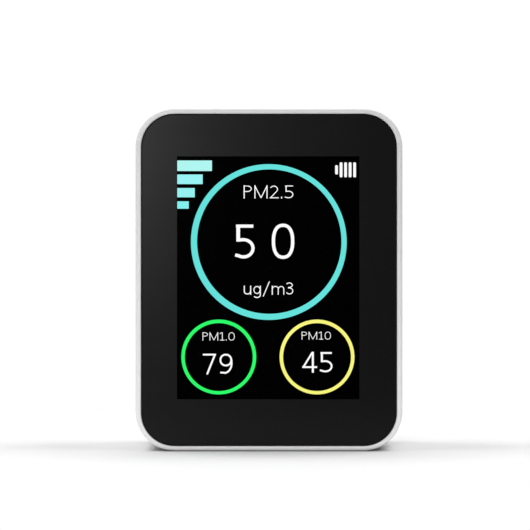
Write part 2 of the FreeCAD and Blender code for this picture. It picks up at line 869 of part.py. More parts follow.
def switch_case():
    case = block(button_x - switch_width / 2, button_x + switch_width / 2, board_back_y,
                 2 * parting_y - board_back_y, switch_top_z - switch_height, switch_top_z)
    well = plunger_block(plunger_clearance,
                         switch_top_z - plunger_depth - button_travel - plunger_clearance,
                         switch_top_z)
    return case.cut(well)


def switch_plunger():
    return plunger_block(0.0, switch_top_z - plunger_depth, plunger_top_z)


# ---- battery ----
def battery_cell():
    cell = block(-battery_length / 2 + battery_cap_length, battery_length / 2,
                 battery_front_y, battery_back_y, battery_base_z, battery_top_z)
    along_z = [edge for edge in cell.Edges
               if abs(edge.Vertexes[0].Z - edge.Vertexes[1].Z) > battery_height / 2]
    upper = edges_in_plane(cell, "z", battery_top_z)
    lower = edges_in_plane(cell, "z", battery_base_z)
    return cell.makeFillet(battery_round, along_z + upper + lower)


def battery_end_board():
    """Protection board at the cell's end, wrapped in tape."""
    inset = battery_round
    end = block(-battery_length / 2, -battery_length / 2 + battery_cap_length,
                battery_front_y + inset, battery_back_y - inset,
                battery_base_z + inset, battery_top_z - inset)
    return end.makeFillet(battery_round / 2, edges_in_plane(end, "x", -battery_length / 2))


def battery_tape():
    return block(-battery_length * 0.42, battery_length * 0.42, battery_back_y, inner_back_y,
                 battery_base_z + 3.0, battery_top_z - 3.0)


# ---- wire-to-board connectors ----
def socket_shell(x, z_mouth, width, y0, y1, opens):
    """Shell of a connector whose mouth faces up or down; opens is +1 for up and -1 for down."""
    z_far = z_mouth - opens * plug_depth
    body = block(x - width / 2, x + width / 2, y0, y1, min(z_mouth, z_far), max(z_mouth, z_far))
    z_floor = z_far + opens * plug_wall * 2
    bay = block(x - width / 2 + plug_wall, x + width / 2 - plug_wall,
                y0 + plug_wall, y1 - plug_wall, min(z_mouth, z_floor), max(z_mouth, z_floor))
    return body.cut(bay)


def plug_body(x, z_mouth, width, y0, y1, opens):
    inset = plug_wall + plug_clearance
    z_inner = z_mouth - opens * (plug_depth - 2 * plug_wall)
    z_outer = z_mouth + opens * plug_stand_out
    return block(x - width / 2 + inset, x + width / 2 - inset, y0 + inset, y1 - inset,
                 min(z_inner, z_outer), max(z_inner, z_outer))


link_width = wire_count * wire_pitch + 2.4
link_x = fan_x - fan_size / 2 - 0.6 + link_side_gap + link_width / 2
link_height = 3.6
sensor_link_z = sensor_bottom_z + lid_thickness + 0.1
board_link_z = sensor_link_z - link_drop
battery_link_height = 4.8
battery_link_width = 6.0
battery_link_x = -board_width / 2 + battery_link_width / 2 + 0.6
battery_link_z = battery_top_z + 6.0
sensor_link_y = sensor_board_back_y
battery_link_y = board_back_y


def sensor_socket():
    return socket_shell(link_x, sensor_link_z, link_width, sensor_link_y,
                        sensor_link_y + link_height, -1)


def sensor_plug():
    return plug_body(link_x, sensor_link_z, link_width, sensor_link_y,
                     sensor_link_y + link_height, -1)


def board_link_socket():
    return socket_shell(link_x, board_link_z, link_width, board_back_y,
                        board_back_y + link_height, 1)


def board_link_plug():
    return plug_body(link_x, board_link_z, link_width, board_back_y,
                     board_back_y + link_height, 1)


def sensor_wires():
    sensor_y = sensor_link_y + link_height / 2
    sensor_end = sensor_link_z - plug_stand_out
    board_y = board_back_y + link_height / 2
    board_end = board_link_z + plug_stand_out
    drop = (sensor_end - board_end) * 0.4
    first_x = link_x - (wire_count - 1) / 2 * wire_pitch
    first = wire_along("sensor wire", [Vector(first_x, sensor_y, sensor_end),
                                       Vector(first_x, sensor_y, sensor_end - drop),
                                       Vector(first_x, board_y, board_end + drop),
                                       Vector(first_x, board_y, board_end)], wire_diameter)
    return [first.translated(Vector(k * wire_pitch, 0, 0)) for k in range(wire_count)]


def battery_socket():
    return socket_shell(battery_link_x, battery_link_z, battery_link_width, battery_link_y,
                        battery_link_y + battery_link_height, -1)


def battery_plug():
    return plug_body(battery_link_x, battery_link_z, battery_link_width, battery_link_y,
                     battery_link_y + battery_link_height, -1)


def battery_wire(side):
    """Lead from the battery's end board to its plug; side is -1 or +1 across the plug."""
    half = side * battery_wire_pitch / 2
    x = battery_link_x + half
    plug_y = battery_link_y + battery_link_height / 2
    plug_z = battery_link_z - plug_stand_out
    cell_y = battery_front_y + battery_thickness * 0.25
    cell_z = battery_top_z - battery_height / 3 + half
    start = Vector(x, plug_y, plug_z)
    bend = Vector(x, plug_y, (plug_z + cell_z) / 2)
    corner = Vector(x, cell_y, cell_z)
    end = Vector(-battery_length / 2, cell_y, cell_z)
    points = [start, bend, *spread_corner(bend, corner, end), end]
    return wire_along("battery wire", points, battery_wire_diameter)


# ---- laser particle sensor ----
def sensor_tray():
    outer = rounded_prism("y", 0, sensor_z, tray_width, tray_height, 1.6,
                          sensor_front_y, tray_back_y)
    inner = rounded_prism("y", 0, sensor_z, tray_width - 2 * tray_wall,
                          tray_height - 2 * tray_wall, 0.6,
                          sensor_front_y + tray_wall, tray_back_y)
    gate = block(link_x - link_width / 2 - plug_clearance, link_x + link_width / 2 + plug_clearance,
                 sensor_link_y - plug_clearance, sensor_link_y + link_height + plug_clearance,
                 sensor_bottom_z, sensor_bottom_z + tray_wall * 2)
    tray = outer.cut([inner, gate])
    posts = [cylinder("y", x, z, 1.8, sensor_front_y, sensor_front_y + tray_wall)
             for x, z in sensor_screw_spots()]
    tray = fused(tray, *posts)
    pilots = [cylinder("y", x, z, sensor_screw_radius + thread_clearance, sensor_front_y + 0.2,
                       sensor_front_y + tray_wall) for x, z in sensor_screw_spots()]
    return tray.cut(pilots)


def sensor_screw_spots():
    reach_x = tray_width / 2 - tray_wall - 2.2
    reach_z = tray_height / 2 - tray_wall - 2.2
    return [(reach_x, sensor_z + reach_z), (-reach_x, sensor_z + reach_z),
            (reach_x, sensor_z - reach_z)]


def sensor_board():
    gap = 0.3
    board = rounded_prism("y", 0, sensor_z, tray_width - 2 * (tray_wall + gap),
                          tray_height - 2 * (tray_wall + gap), 0.5,
                          sensor_front_y + tray_wall, sensor_board_back_y)
    holes = [cylinder("y", x, z, sensor_screw_radius + hole_clearance,
                      sensor_front_y + tray_wall, sensor_board_back_y)
             for x, z in sensor_screw_spots()]
    return board.cut(holes)


def sensor_screws():
    length = sensor_board_thickness + tray_wall - 0.3
    return [screw(x, z, sensor_screw_radius, sensor_screw_head_radius, sensor_screw_head,
                  length, sensor_board_back_y) for x, z in sensor_screw_spots()]


def sensor_lid():
    outer = rounded_prism("y", 0, sensor_z, sensor_width, sensor_height, 2.1,
                          sensor_back_y - lid_skirt, sensor_back_y)
    inner = rounded_prism("y", 0, sensor_z, sensor_width - 2 * lid_thickness,
                          sensor_height - 2 * lid_thickness, 2.1 - lid_thickness,
                          sensor_back_y - lid_skirt, tray_back_y)
    cutters = [inner]
    for k in range(5):
        x = intake_x + (k - 2) * 3.2
        cutters.append(rounded_prism("y", x, sensor_z + 2.0, 1.6, 10.0, 0.8,
                                     tray_back_y, sensor_back_y))
    for radius, count in ((2.6, 6), (5.2, 10), (7.8, 16)):
        for k in range(count):
            angle = 2 * math.pi * k / count
            cutters.append(cylinder("y", fan_x + radius * math.cos(angle),
                                    sensor_z + radius * math.sin(angle), 0.95,
                                    tray_back_y, sensor_back_y))
    return outer.cut(cutters)


def sensor_gasket():
    sheet = rounded_prism("y", 0, sensor_z, sensor_width, sensor_height, 2.1,
                          sensor_back_y, inner_back_y)
    span = vent_rows * vent_pitch
    windows = [block(x - vent_length / 2 - 0.4, x + vent_length / 2 + 0.4, sensor_back_y,
                     inner_back_y, sensor_z - span / 2, sensor_z + span / 2)
               for x in (intake_x, fan_x)]
    return sheet.cut(windows)


def sensor_duct():
    """Plastic insert that holds the laser, closes the light chamber and ends in a light trap."""
    floor_y = sensor_board_back_y
    left = -tray_width / 2 + tray_wall + 0.5
    low = laser_z - laser_radius - 1.2
    high = laser_z + laser_radius + 1.2
    right = fan_x - fan_size / 2 - 0.6
    floor = block(left, right, floor_y, floor_y + 0.8, low, high + 6.0)
    cradle = block(left, left + laser_length + 1.0, floor_y, laser_y + laser_radius + 0.8,
                   low, high)
    partition = block(right - 1.2, right, floor_y, tray_back_y - 0.3, high, high + 6.0)
    trap = block(right - 4.4, right, floor_y, laser_y + laser_radius + 0.8, low, high)
    bore = cylinder("x", laser_y, laser_z, laser_radius, left, left + laser_length + 1.0)
    funnel = Part.makeCone(laser_radius * 0.8, 0.2, 3.6, Vector(right - 4.4, laser_y, laser_z),
                           Vector(1, 0, 0))
    pocket = block(photodiode_x() - 1.7, photodiode_x() + 1.7, floor_y, floor_y + 0.8,
                   laser_z - 1.7, laser_z + 1.7)
    return fused(floor, cradle, partition, trap).cut([bore, funnel, pocket])


def photodiode_x():
    left = -tray_width / 2 + tray_wall + 0.5
    return left + laser_length + 4.5


def photodiode():
    x = photodiode_x()
    return block(x - 1.5, x + 1.5, sensor_board_back_y, sensor_board_back_y + 1.1,
                 laser_z - 1.5, laser_z + 1.5)


def laser_module():
    start = -tray_width / 2 + tray_wall + 0.8
    barrel = cylinder("x", laser_y, laser_z, laser_radius, start, start + laser_length)
    throat = cylinder("x", laser_y, laser_z, laser_lens_radius,
                      start + laser_length - 1.8, start + laser_length)
    return barrel.cut(throat)


def laser_lens():
    start = -tray_width / 2 + tray_wall + 0.8 + laser_length - 1.8
    return cylinder("x", laser_y, laser_z, laser_lens_radius, start, start + 1.0)


# ---- sensor fan ----
def fan_frame():
    outer = rounded_prism("y", fan_x, sensor_z, fan_size, fan_size, 1.2, fan_front_y, fan_back_y)
    bore = cylinder("y", fan_x, sensor_z, fan_bore_radius, fan_front_y, fan_back_y)
    frame = outer.cut(bore)
    hub = cylinder("y", fan_x, sensor_z, hub_radius, fan_front_y, fan_front_y + fan_floor)
    tube = cylinder("y", fan_x, sensor_z, bearing_tube_radius, fan_front_y, fan_back_y - 2.0)
    struts = []
    for k in range(4):
        strut = block(fan_x + hub_radius * 0.5, fan_x + fan_bore_radius + 0.2, fan_front_y,
                      fan_front_y + fan_floor, sensor_z - 0.6, sensor_z + 0.6)
        strut.rotate(Vector(fan_x, 0, sensor_z), Vector(0, 1, 0), 45 + 90 * k)
        struts.append(strut)
    frame = fused(frame, hub, tube, *struts)
    return frame.cut(cylinder("y", fan_x, sensor_z, bearing_radius,
                              fan_front_y + fan_floor, fan_back_y - 2.0))


def fan_bearing():
    return ring("y", fan_x, sensor_z, bearing_radius, shaft_radius + shaft_clearance,
                fan_front_y + fan_floor, fan_back_y - 2.2)


def fan_stator():
    """Core with four poles on the bearing tube."""
    low = fan_front_y + fan_floor + 0.6
    high = low + 2.8
    core = ring("y", fan_x, sensor_z, bearing_tube_radius + 0.3, bearing_tube_radius, low, high)
    tips = ring("y", fan_x, sensor_z, stator_radius, stator_radius - 0.35, low, high)
    arms = []
    gaps = []
    for k in range(4):
        arm = block(fan_x + bearing_tube_radius + 0.1, fan_x + stator_radius - 0.1, low, high,
                    sensor_z - 0.35, sensor_z + 0.35)
        gap = block(fan_x + stator_radius - 0.5, fan_x + stator_radius + 0.5, low, high,
                    sensor_z - 0.3, sensor_z + 0.3)
        arm.rotate(Vector(fan_x, 0, sensor_z), Vector(0, 1, 0), 90 * k)
        gap.rotate(Vector(fan_x, 0, sensor_z), Vector(0, 1, 0), 45 + 90 * k)
        arms.append(arm)
        gaps.append(gap)
    return fused(core, tips.cut(gaps), *arms)


def fan_magnet():
    low = fan_front_y + fan_floor + 0.6
    outer = hub_radius - hub_wall
    return ring("y", fan_x, sensor_z, outer, outer - magnet_thickness, low, low + 2.8)


def fan_rotor():
    low = fan_front_y + fan_floor + 0.5
    high = fan_back_y - 0.4
    cup = cylinder("y", fan_x, sensor_z, hub_radius, low, high)
    cup = cup.cut(cylinder("y", fan_x, sensor_z, hub_radius - hub_wall, low, high - 0.8))
    cup = cup.cut(cylinder("y", fan_x, sensor_z, shaft_radius, high - 0.8, high))
    middle = (low + high) / 2
    swept = ring("y", fan_x, sensor_z, blade_tip_radius, hub_radius - 0.1, low + 0.2, high - 0.2)
    blades = []
    for k in range(blade_count):
        blade = block(fan_x + hub_radius * 0.8, fan_x + blade_tip_radius + 1.0,
                      middle - 3.6, middle + 3.6, sensor_z - 0.25, sensor_z + 0.25)
        blade.rotate(Vector(fan_x, middle, sensor_z), Vector(1, 0, 0), blade_pitch)
        blade = blade.common(swept)
        blade.rotate(Vector(fan_x, 0, sensor_z), Vector(0, 1, 0), 360 * k / blade_count)
        blades.append(blade)
    return fused(cup, *blades)


def fan_shaft():
    return cylinder("y", fan_x, sensor_z, shaft_radius, fan_front_y + fan_floor + 0.2,
                    fan_back_y - 0.4)


def sensor_pad():
    """Foam block that presses the sensor against its gasket."""
    return block(-17.0, -6.0, board_back_y, sensor_front_y, sensor_z - 8.0, sensor_z + 6.0)


# ---- fasteners ----
def case_screws():
    seat_y = pillar_top_y + seat_thickness
    return [screw(x, z, case_screw_radius, case_screw_head_radius, case_screw_head,
                  case_screw_length, seat_y) for x, z in pillar_spots]


def board_screws():
    return [screw(x, z, board_screw_radius, board_screw_head_radius, board_screw_head,
                  board_screw_length, board_back_y) for x, z in boss_spots]


os.makedirs("parts", exist_ok=True)
save("front_frame", front_frame())
save("rear_cover", rear_cover())
save("front_window", front_window())
save("window_mask", window_mask())
save("window_tape", window_tape())
save("display_gasket", display_gasket())
save("display_polariser", display_layer(polariser_margin, 0.0, display_front_y, front_glass_y))
save("display_front_glass", display_layer(glass_margin, 0.0, front_glass_y, rear_glass_y))
save("display_rear_glass", display_layer(glass_margin, glass_ledge, rear_glass_y, light_panel_y))
save("display_driver_chip", display_driver_chip())
save("display_frame", display_frame())
save("backlight_panel", backlight_panel())
save("display_back_plate", display_back_plate())
save("display_flex", display_flex())
save("display_pad", display_pad())
save("display_connector", display_connector())
save("display_connector_latch", display_connector_latch())
save("main_board", main_board())
save("controller_chip", controller_chip())
save("memory_chip", memory_chip())
save("charger_chip", charger_chip())
save("regulator_chip", regulator_chip())
save("power_inductor", power_inductor())
save("tank_capacitors", *tank_capacitors())
save("crystal", crystal())
save("chip_capacitors", *chip_capacitors())
save("chip_resistors", *chip_resistors())
save("port_shell", port_shell())
save("port_contacts", port_contacts())
save("power_button", power_button())
save("switch_case", switch_case())
save("switch_plunger", switch_plunger())
save("battery_cell", battery_cell())
save("battery_end_board", battery_end_board())
save("battery_tape", battery_tape())
save("battery_socket", battery_socket())
save("battery_plug", battery_plug())
save("battery_wire_red", battery_wire(1))
save("battery_wire_black", battery_wire(-1))
save("sensor_tray", sensor_tray())
save("sensor_board", sensor_board())
save("sensor_screws", *sensor_screws())
save("sensor_lid", sensor_lid())
save("sensor_gasket", sensor_gasket())
save("sensor_duct", sensor_duct())
save("photodiode", photodiode())
save("laser_module", laser_module())
save("laser_lens", laser_lens())
save("fan_frame", fan_frame())
save("fan_bearing", fan_bearing())
save("fan_stator", fan_stator())
save("fan_rotor", fan_rotor())
save("fan_magnet", fan_magnet())
save("fan_shaft", fan_shaft())
save("sensor_link", sensor_socket(), board_link_socket())
save("sensor_link_plugs", sensor_plug(), board_link_plug())
save("sensor_wires", *sensor_wires())
save("sensor_pad", sensor_pad())
save("case_screws", *case_screws())
save("board_screws", *board_screws())
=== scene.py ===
import json
import math

import bmesh
import bpy
from mathutils import Matrix, Vector


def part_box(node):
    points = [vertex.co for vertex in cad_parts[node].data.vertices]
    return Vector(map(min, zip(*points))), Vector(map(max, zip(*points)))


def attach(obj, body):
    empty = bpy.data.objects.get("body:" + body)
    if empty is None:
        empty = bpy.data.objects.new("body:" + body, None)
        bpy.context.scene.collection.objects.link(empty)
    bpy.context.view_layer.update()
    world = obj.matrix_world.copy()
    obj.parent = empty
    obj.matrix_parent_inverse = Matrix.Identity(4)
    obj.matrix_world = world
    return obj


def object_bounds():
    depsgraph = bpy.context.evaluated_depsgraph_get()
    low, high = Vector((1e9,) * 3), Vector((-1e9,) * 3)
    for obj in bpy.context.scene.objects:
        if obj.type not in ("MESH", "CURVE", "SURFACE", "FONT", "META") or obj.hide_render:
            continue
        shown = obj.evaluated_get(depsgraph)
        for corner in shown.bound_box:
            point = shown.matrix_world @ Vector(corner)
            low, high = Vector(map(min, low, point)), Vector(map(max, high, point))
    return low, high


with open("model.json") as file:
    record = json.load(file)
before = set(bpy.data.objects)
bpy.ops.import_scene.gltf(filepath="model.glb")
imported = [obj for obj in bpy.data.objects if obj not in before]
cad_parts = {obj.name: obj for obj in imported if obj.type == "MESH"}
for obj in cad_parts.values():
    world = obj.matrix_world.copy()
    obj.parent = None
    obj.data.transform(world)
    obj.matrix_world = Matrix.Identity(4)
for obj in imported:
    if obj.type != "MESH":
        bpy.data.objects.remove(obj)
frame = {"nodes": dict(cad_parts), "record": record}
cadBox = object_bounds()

# Upright air quality monitor: a white split case, a black front window and a lit colour display.
# Metres, in the model's own frame: X right, Y to the rear, Z up. Sizes marked mm are turned by mm.
mm = 0.001
print("frame loaded:", len(frame["nodes"]), "nodes")

# camera
camera = {
    "fromFront": 450 * mm,     # from the front of the case to the lens
    "sideways": -0.95 * mm,
    "height": 44.25 * mm,
    "lens": 128.4,
    "sensor": 36.0,
}
cameraData = bpy.data.cameras.new("viewCamera")
cameraData.lens = camera["lens"]
cameraData.sensor_width = camera["sensor"]
cameraData.clip_start = 0.01
cameraData.clip_end = 50
viewCamera = bpy.data.objects.new("viewCamera", cameraData)
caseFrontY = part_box("front_frame")[0].y
viewCamera.location = (camera["sideways"], caseFrontY - camera["fromFront"], camera["height"])
viewCamera.rotation_euler = (math.radians(90), 0, 0)
bpy.context.scene.collection.objects.link(viewCamera)
bpy.context.scene.camera = viewCamera


# shader sums
class Shade:
    def __init__(self, tree, out=None):
        self.tree = tree
        self.out = out

    def node(self, kind, settings=None, inputs=None, out=0):
        made = self.tree.nodes.new(kind)
        for key, value in (settings or {}).items():
            if key == "stops":
                ramp = made.color_ramp.elements
                while len(ramp) < len(value):
                    ramp.new(0.5)
                for stop, (position, colour) in zip(ramp, value):
                    stop.position = position
                    stop.color = colour
            else:
                setattr(made, key, value)
        for key, value in (inputs or {}).items():
            if isinstance(value, Shade):
                self.tree.links.new(value.out, made.inputs[key])
            else:
                made.inputs[key].default_value = value
        return Shade(self.tree, made.outputs[out])

    def maths(self, operation, *values):
        return self.node("ShaderNodeMath", {"operation": operation}, dict(enumerate(values)))

    def __add__(self, other):
        return self.maths("ADD", self, other)

    def __radd__(self, other):
        return self.maths("ADD", other, self)

    def __sub__(self, other):
        return self.maths("SUBTRACT", self, other)

    def __rsub__(self, other):
        return self.maths("SUBTRACT", other, self)

    def __mul__(self, other):
        return self.maths("MULTIPLY", self, other)

    def __truediv__(self, other):
        return self.maths("DIVIDE", self, other)

    def __gt__(self, other):
        return self.maths("GREATER_THAN", self, other)

    def __lt__(self, other):
        return self.maths("LESS_THAN", self, other)

    def __abs__(self):
        return self.maths("ABSOLUTE", self)


def grey(value):
    return (value, value, value, 1)


def fromScreen(red, green, blue, gain):
    # a colour given as 0 to 255 screen values, as linear light
    linear = []
    for value in (red, green, blue):
        share = value / 255
        linear.append(gain * (share / 12.92 if share <= 0.04045 else ((share + 0.055) / 1.055) ** 2.4))
    return (*linear, 1)


def millimetres(paint, stretch=(1, 1, 1), shift=(0, 0, 0), turn=(0, 0, 0)):
    # where a point of the piece is, in mm, with the pattern stretched, shifted or turned
    coordinates = paint.node("ShaderNodeTexCoord", out="Object")
    return paint.node("ShaderNodeMapping", inputs={
        "Vector": coordinates, "Scale": [s / mm for s in stretch], "Location": shift, "Rotation": turn})


def axes(paint, where, letters="xyz"):
    # the named coordinates of a point or direction, one value each
    parts = paint.node("ShaderNodeSeparateXYZ", inputs={"Vector": where}).out.node.outputs
    return [Shade(paint.tree, parts["xyz".index(letter)]) for letter in letters]


def noise(paint, where, scale, detail=3.0, roughness=0.55):
    return paint.node("ShaderNodeTexNoise", inputs={
        "Vector": where, "Scale": scale, "Detail": detail, "Roughness": roughness})


def cells(paint, where, scale, randomness=1.0):
    return paint.node("ShaderNodeTexVoronoi", {"feature": "F1"}, {
        "Vector": where, "Scale": scale, "Randomness": randomness})


def between(paint, share, low, high):
    # a soft step from 0 to 1 as share goes from low to high
    return paint.node("ShaderNodeMapRange", {"interpolation_type": "SMOOTHSTEP"}, {
        "Value": share, "From Min": low, "From Max": high, "To Min": 0.0, "To Max": 1.0})


def spread(paint, share, low, high):
    # a value that runs from low to high as noise runs over its usual range, 0.25 to 0.75
    return paint.node("ShaderNodeMapRange", {"interpolation_type": "LINEAR"}, {
        "Value": share, "From Min": 0.25, "From Max": 0.75, "To Min": low, "To Max": high})


def blendColour(paint, share, first, second):
    return paint.node("ShaderNodeMix", {"data_type": "RGBA"}, {0: share, 6: first, 7: second}, out=2)


def relief(paint, height, depth, strength=1.0, under=None):
    inputs = {"Height": height, "Distance": depth, "Strength": strength}
    if under is not None:
        inputs["Normal"] = under
    return paint.node("ShaderNodeBump", inputs=inputs)


def pitchWave(paint, value, pitch):
    # 0 to 1 and back across each pitch, in mm
    return paint.maths("PINGPONG", value, pitch / 2) / (pitch / 2)


def finish(name, build, constants):
    material = bpy.data.materials.new(name)
    material.use_nodes = True
    tree = material.node_tree
    tree.nodes.clear()
    output = tree.nodes.new("ShaderNodeOutputMaterial")
    shader = tree.nodes.new("ShaderNodeBsdfPrincipled")
    tree.links.new(shader.outputs[0], output.inputs["Surface"])
    for socket, value in constants.items():
        shader.inputs[socket].default_value = value
    for socket, shade in build(Shade(tree)).items():
        tree.links.new(shade.out, shader.inputs[socket])
    return material


# moulded plastics
moulded = {
    "whiteTone": 0.775,       # the case
    "buttonTone": 0.72,
    "whiteRough": 0.47,
    "grain": 5.5,             # spark-eroded grain, per mm
    "grainDepth": 0.012 * mm,
    "mottle": 0.05,           # slow change of tone, per mm
}


def mouldedPlastic(name, tone, rough, grainDepth, warmth=0.0, mottleShare=0.018, grain=None):
    def build(paint):
        where = millimetres(paint)
        slow = noise(paint, where, moulded["mottle"], 4.0)
        flow = noise(paint, millimetres(paint, stretch=(0.25, 1, 1)), 0.6, 5.0)
        fine = noise(paint, where, grain or moulded["grain"], 4.0, 0.65)
        light = tone * (1 + mottleShare)
        dark = tone * (1 - mottleShare)
        colour = blendColour(paint, spread(paint, slow, 0.0, 1.0),
                             (dark, dark * (1 - warmth * 0.5), dark * (1 - warmth), 1),
                             (light, light * (1 - warmth * 0.4), light * (1 - warmth * 0.8), 1))
        speck = between(paint, noise(paint, where, 2.3, 2.0), 0.70, 0.78)
        colour = blendColour(paint, speck * 0.10, colour, grey(tone * 0.6))
        return {
            "Base Color": colour,
            "Roughness": spread(paint, flow, rough - 0.04, rough + 0.05) + (fine - 0.5) * 0.08,
            "Normal": relief(paint, fine, grainDepth, 0.55, relief(paint, slow, 0.02 * mm, 0.25)),
        }
    return finish(name, build, {"IOR": 1.49, "Specular IOR Level": 0.5})


grainDepth = moulded["grainDepth"]
caseWhite = mouldedPlastic("caseWhite", moulded["whiteTone"], moulded["whiteRough"], grainDepth, 0.008)
buttonWhite = mouldedPlastic("buttonWhite", moulded["buttonTone"], 0.38, grainDepth * 0.6, 0.006)
frameWhite = mouldedPlastic("frameWhite", 0.80, 0.40, grainDepth * 0.4, 0.02)
creamNylon = mouldedPlastic("creamNylon", 0.74, 0.42, grainDepth * 0.6, 0.20, 0.04)
mouldedBlack = mouldedPlastic("mouldedBlack", 0.028, 0.46, grainDepth * 1.3, 0.0, 0.18, 3.4)

# front window and the layers behind it
displayLow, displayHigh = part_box("display_polariser")
displayMargin = 1.58 * mm           # polariser beyond the lit picture
pictureSideStep = -0.17 * mm        # the picture sits a little left in its frame
pictureCentre = (displayLow + displayHigh) / 2 + Vector((pictureSideStep, 0, 0))
pictureHalfX = (displayHigh.x - displayLow.x) / 2 - displayMargin
pictureHalfZ = (displayHigh.z - displayLow.z) / 2 - displayMargin
dotPitch = 0.18                     # mm, for 240 by 320 dots

windowLook = {
    "black": 0.0042,
    "rough": 0.23,
    "clear": 0.02,                  # alpha where the picture shows through
}


def insidePicture(paint, soft=0.02):
    # 1 where the lit picture shows, 0 round it, across a soft edge in mm
    centred = millimetres(paint, shift=(-pictureCentre.x / mm, 0, -pictureCentre.z / mm))
    x, z = axes(paint, centred, "xz")
    inX = 1 - between(paint, abs(x), pictureHalfX / mm - soft, pictureHalfX / mm + soft)
    inZ = 1 - between(paint, abs(z), pictureHalfZ / mm - soft, pictureHalfZ / mm + soft)
    return inX * inZ


def buildWindow(paint):
    where = millimetres(paint)
    slow = noise(paint, where, 0.08, 4.0)
    fine = noise(paint, where, 9.0, 3.0, 0.6)
    black = windowLook["black"]
    colour = blendColour(paint, spread(paint, slow, 0.0, 1.0), grey(black * 0.94), grey(black * 1.06))
    smear = noise(paint, millimetres(paint, stretch=(0.3, 1, 1), turn=(0, 0.6, 0)), 0.35, 5.0)
    return {
        "Base Color": colour,
        "Roughness": spread(paint, smear, windowLook["rough"] - 0.006, windowLook["rough"] + 0.006),
        "Alpha": 1 - insidePicture(paint) * (1 - windowLook["clear"]),
        "Normal": relief(paint, fine, 0.0006 * mm, 0.3),
    }


windowAcrylic = finish("windowAcrylic", buildWindow, {"IOR": 1.49, "Specular IOR Level": 0.10})


def buildPrintedFilm(paint):
    where = millimetres(paint)
    fine = noise(paint, where, 7.0, 4.0, 0.7)
    pinholes = between(paint, cells(paint, where, 1.4), 0.09, 0.05)
    return {
        "Base Color": blendColour(paint, pinholes * 0.4, grey(0.0016), grey(0.004)),
        "Roughness": spread(paint, fine, 0.5, 0.62),
        "Alpha": 1 - insidePicture(paint),
        "Normal": relief(paint, fine, 0.004 * mm, 0.5),
    }


printedFilm = finish("printedFilm", buildPrintedFilm, {"Specular IOR Level": 0.0})


def dotGrid(paint):
    # thin dark lines between the display's dots
    x, z = axes(paint, millimetres(paint), "xz")
    lineX = between(paint, pitchWave(paint, x, dotPitch), 0.86, 0.97)
    lineZ = between(paint, pitchWave(paint, z, dotPitch), 0.86, 0.97)
    return paint.maths("MAXIMUM", lineX, lineZ)


def buildPolariser(paint):
    haze = noise(paint, millimetres(paint), 0.06, 3.0)
    grid = dotGrid(paint) * insidePicture(paint)
    film = blendColour(paint, spread(paint, haze, 0.0, 1.0),
                       (0.0003, 0.0003, 0.0004, 1), (0.0004, 0.0003, 0.0005, 1))
    return {
        "Base Color": blendColour(paint, grid * 0.6, film, grey(0.0001)),
        "Roughness": spread(paint, haze, 0.30, 0.38),
    }


polariserFilm = finish("polariserFilm", buildPolariser, {"Specular IOR Level": 0.0})


def buildFoamTape(paint):
    where = millimetres(paint)
    pores = cells(paint, where, 2.6)
    fine = noise(paint, where, 6.0, 4.0, 0.7)
    pit = between(paint, pores, 0.55, 0.15)
    return {
        "Base Color": blendColour(paint, pit, grey(0.045), grey(0.012)),
        "Roughness": spread(paint, fine, 0.82, 0.96),
        "Normal": relief(paint, pores + fine * 0.5, 0.05 * mm, 0.8),
    }


foamTape = finish("foamTape", buildFoamTape, {"Specular IOR Level": 0.2})


def buildCellGlass(paint):
    (x,) = axes(paint, millimetres(paint), "x")
    lines = between(paint, pitchWave(paint, x, dotPitch), 0.80, 0.95)
    seal = 1 - insidePicture(paint, 0.2)
    cloud = noise(paint, millimetres(paint), 0.3, 3.0)
    tint = blendColour(paint, spread(paint, cloud, 0, 1), (0.035, 0.045, 0.045, 1), (0.055, 0.07, 0.07, 1))
    return {
        "Base Color": blendColour(paint, lines * 0.7 + seal * 0.2, tint, (0.12, 0.10, 0.07, 1)),
        "Roughness": spread(paint, cloud, 0.05, 0.10),
        "Alpha": 0.38 + lines * 0.25 + seal * 0.2,
    }


cellGlass = finish("cellGlass", buildCellGlass, {"IOR": 1.52})


def buildBareSilicon(paint):
    x, z = axes(paint, millimetres(paint), "xz")
    street = paint.maths("MAXIMUM", between(paint, pitchWave(paint, x, 0.9), 0.90, 0.96),
                         between(paint, pitchWave(paint, z, 0.7), 0.90, 0.96))
    blocks = cells(paint, millimetres(paint, stretch=(1, 1, 0.6)), 1.7, randomness=0.6)
    silicon = blendColour(paint, blocks, (0.05, 0.055, 0.075, 1), (0.10, 0.085, 0.11, 1))
    return {
        "Base Color": blendColour(paint, street * 0.6, silicon, (0.20, 0.18, 0.14, 1)),
        "Roughness": spread(paint, blocks, 0.16, 0.26),
        "Metallic": 0.35 + street * 0.4,
    }


bareSilicon = finish("bareSilicon", buildBareSilicon, {"Coat Weight": 0.3, "Coat Roughness": 0.1})


def buildLightGuide(paint):
    # milky sheet with the dots that let its light out
    dots = cells(paint, millimetres(paint, stretch=(1, 0.2, 1)), 1.25, randomness=0.0)
    cloud = noise(paint, millimetres(paint), 0.2, 3.0)
    body = blendColour(paint, spread(paint, cloud, 0, 1), (0.78, 0.82, 0.80, 1), (0.84, 0.87, 0.84, 1))
    dot = between(paint, dots, 0.30, 0.24)
    return {
        "Base Color": blendColour(paint, dot * 0.6, body, grey(0.95)),
        "Roughness": 0.14 + dot * 0.35,
        "Normal": relief(paint, dot, 0.01 * mm, 0.6),
    }


lightGuide = finish("lightGuide", buildLightGuide, {
    "IOR": 1.49, "Subsurface Weight": 0.15, "Subsurface Scale": 2 * mm})


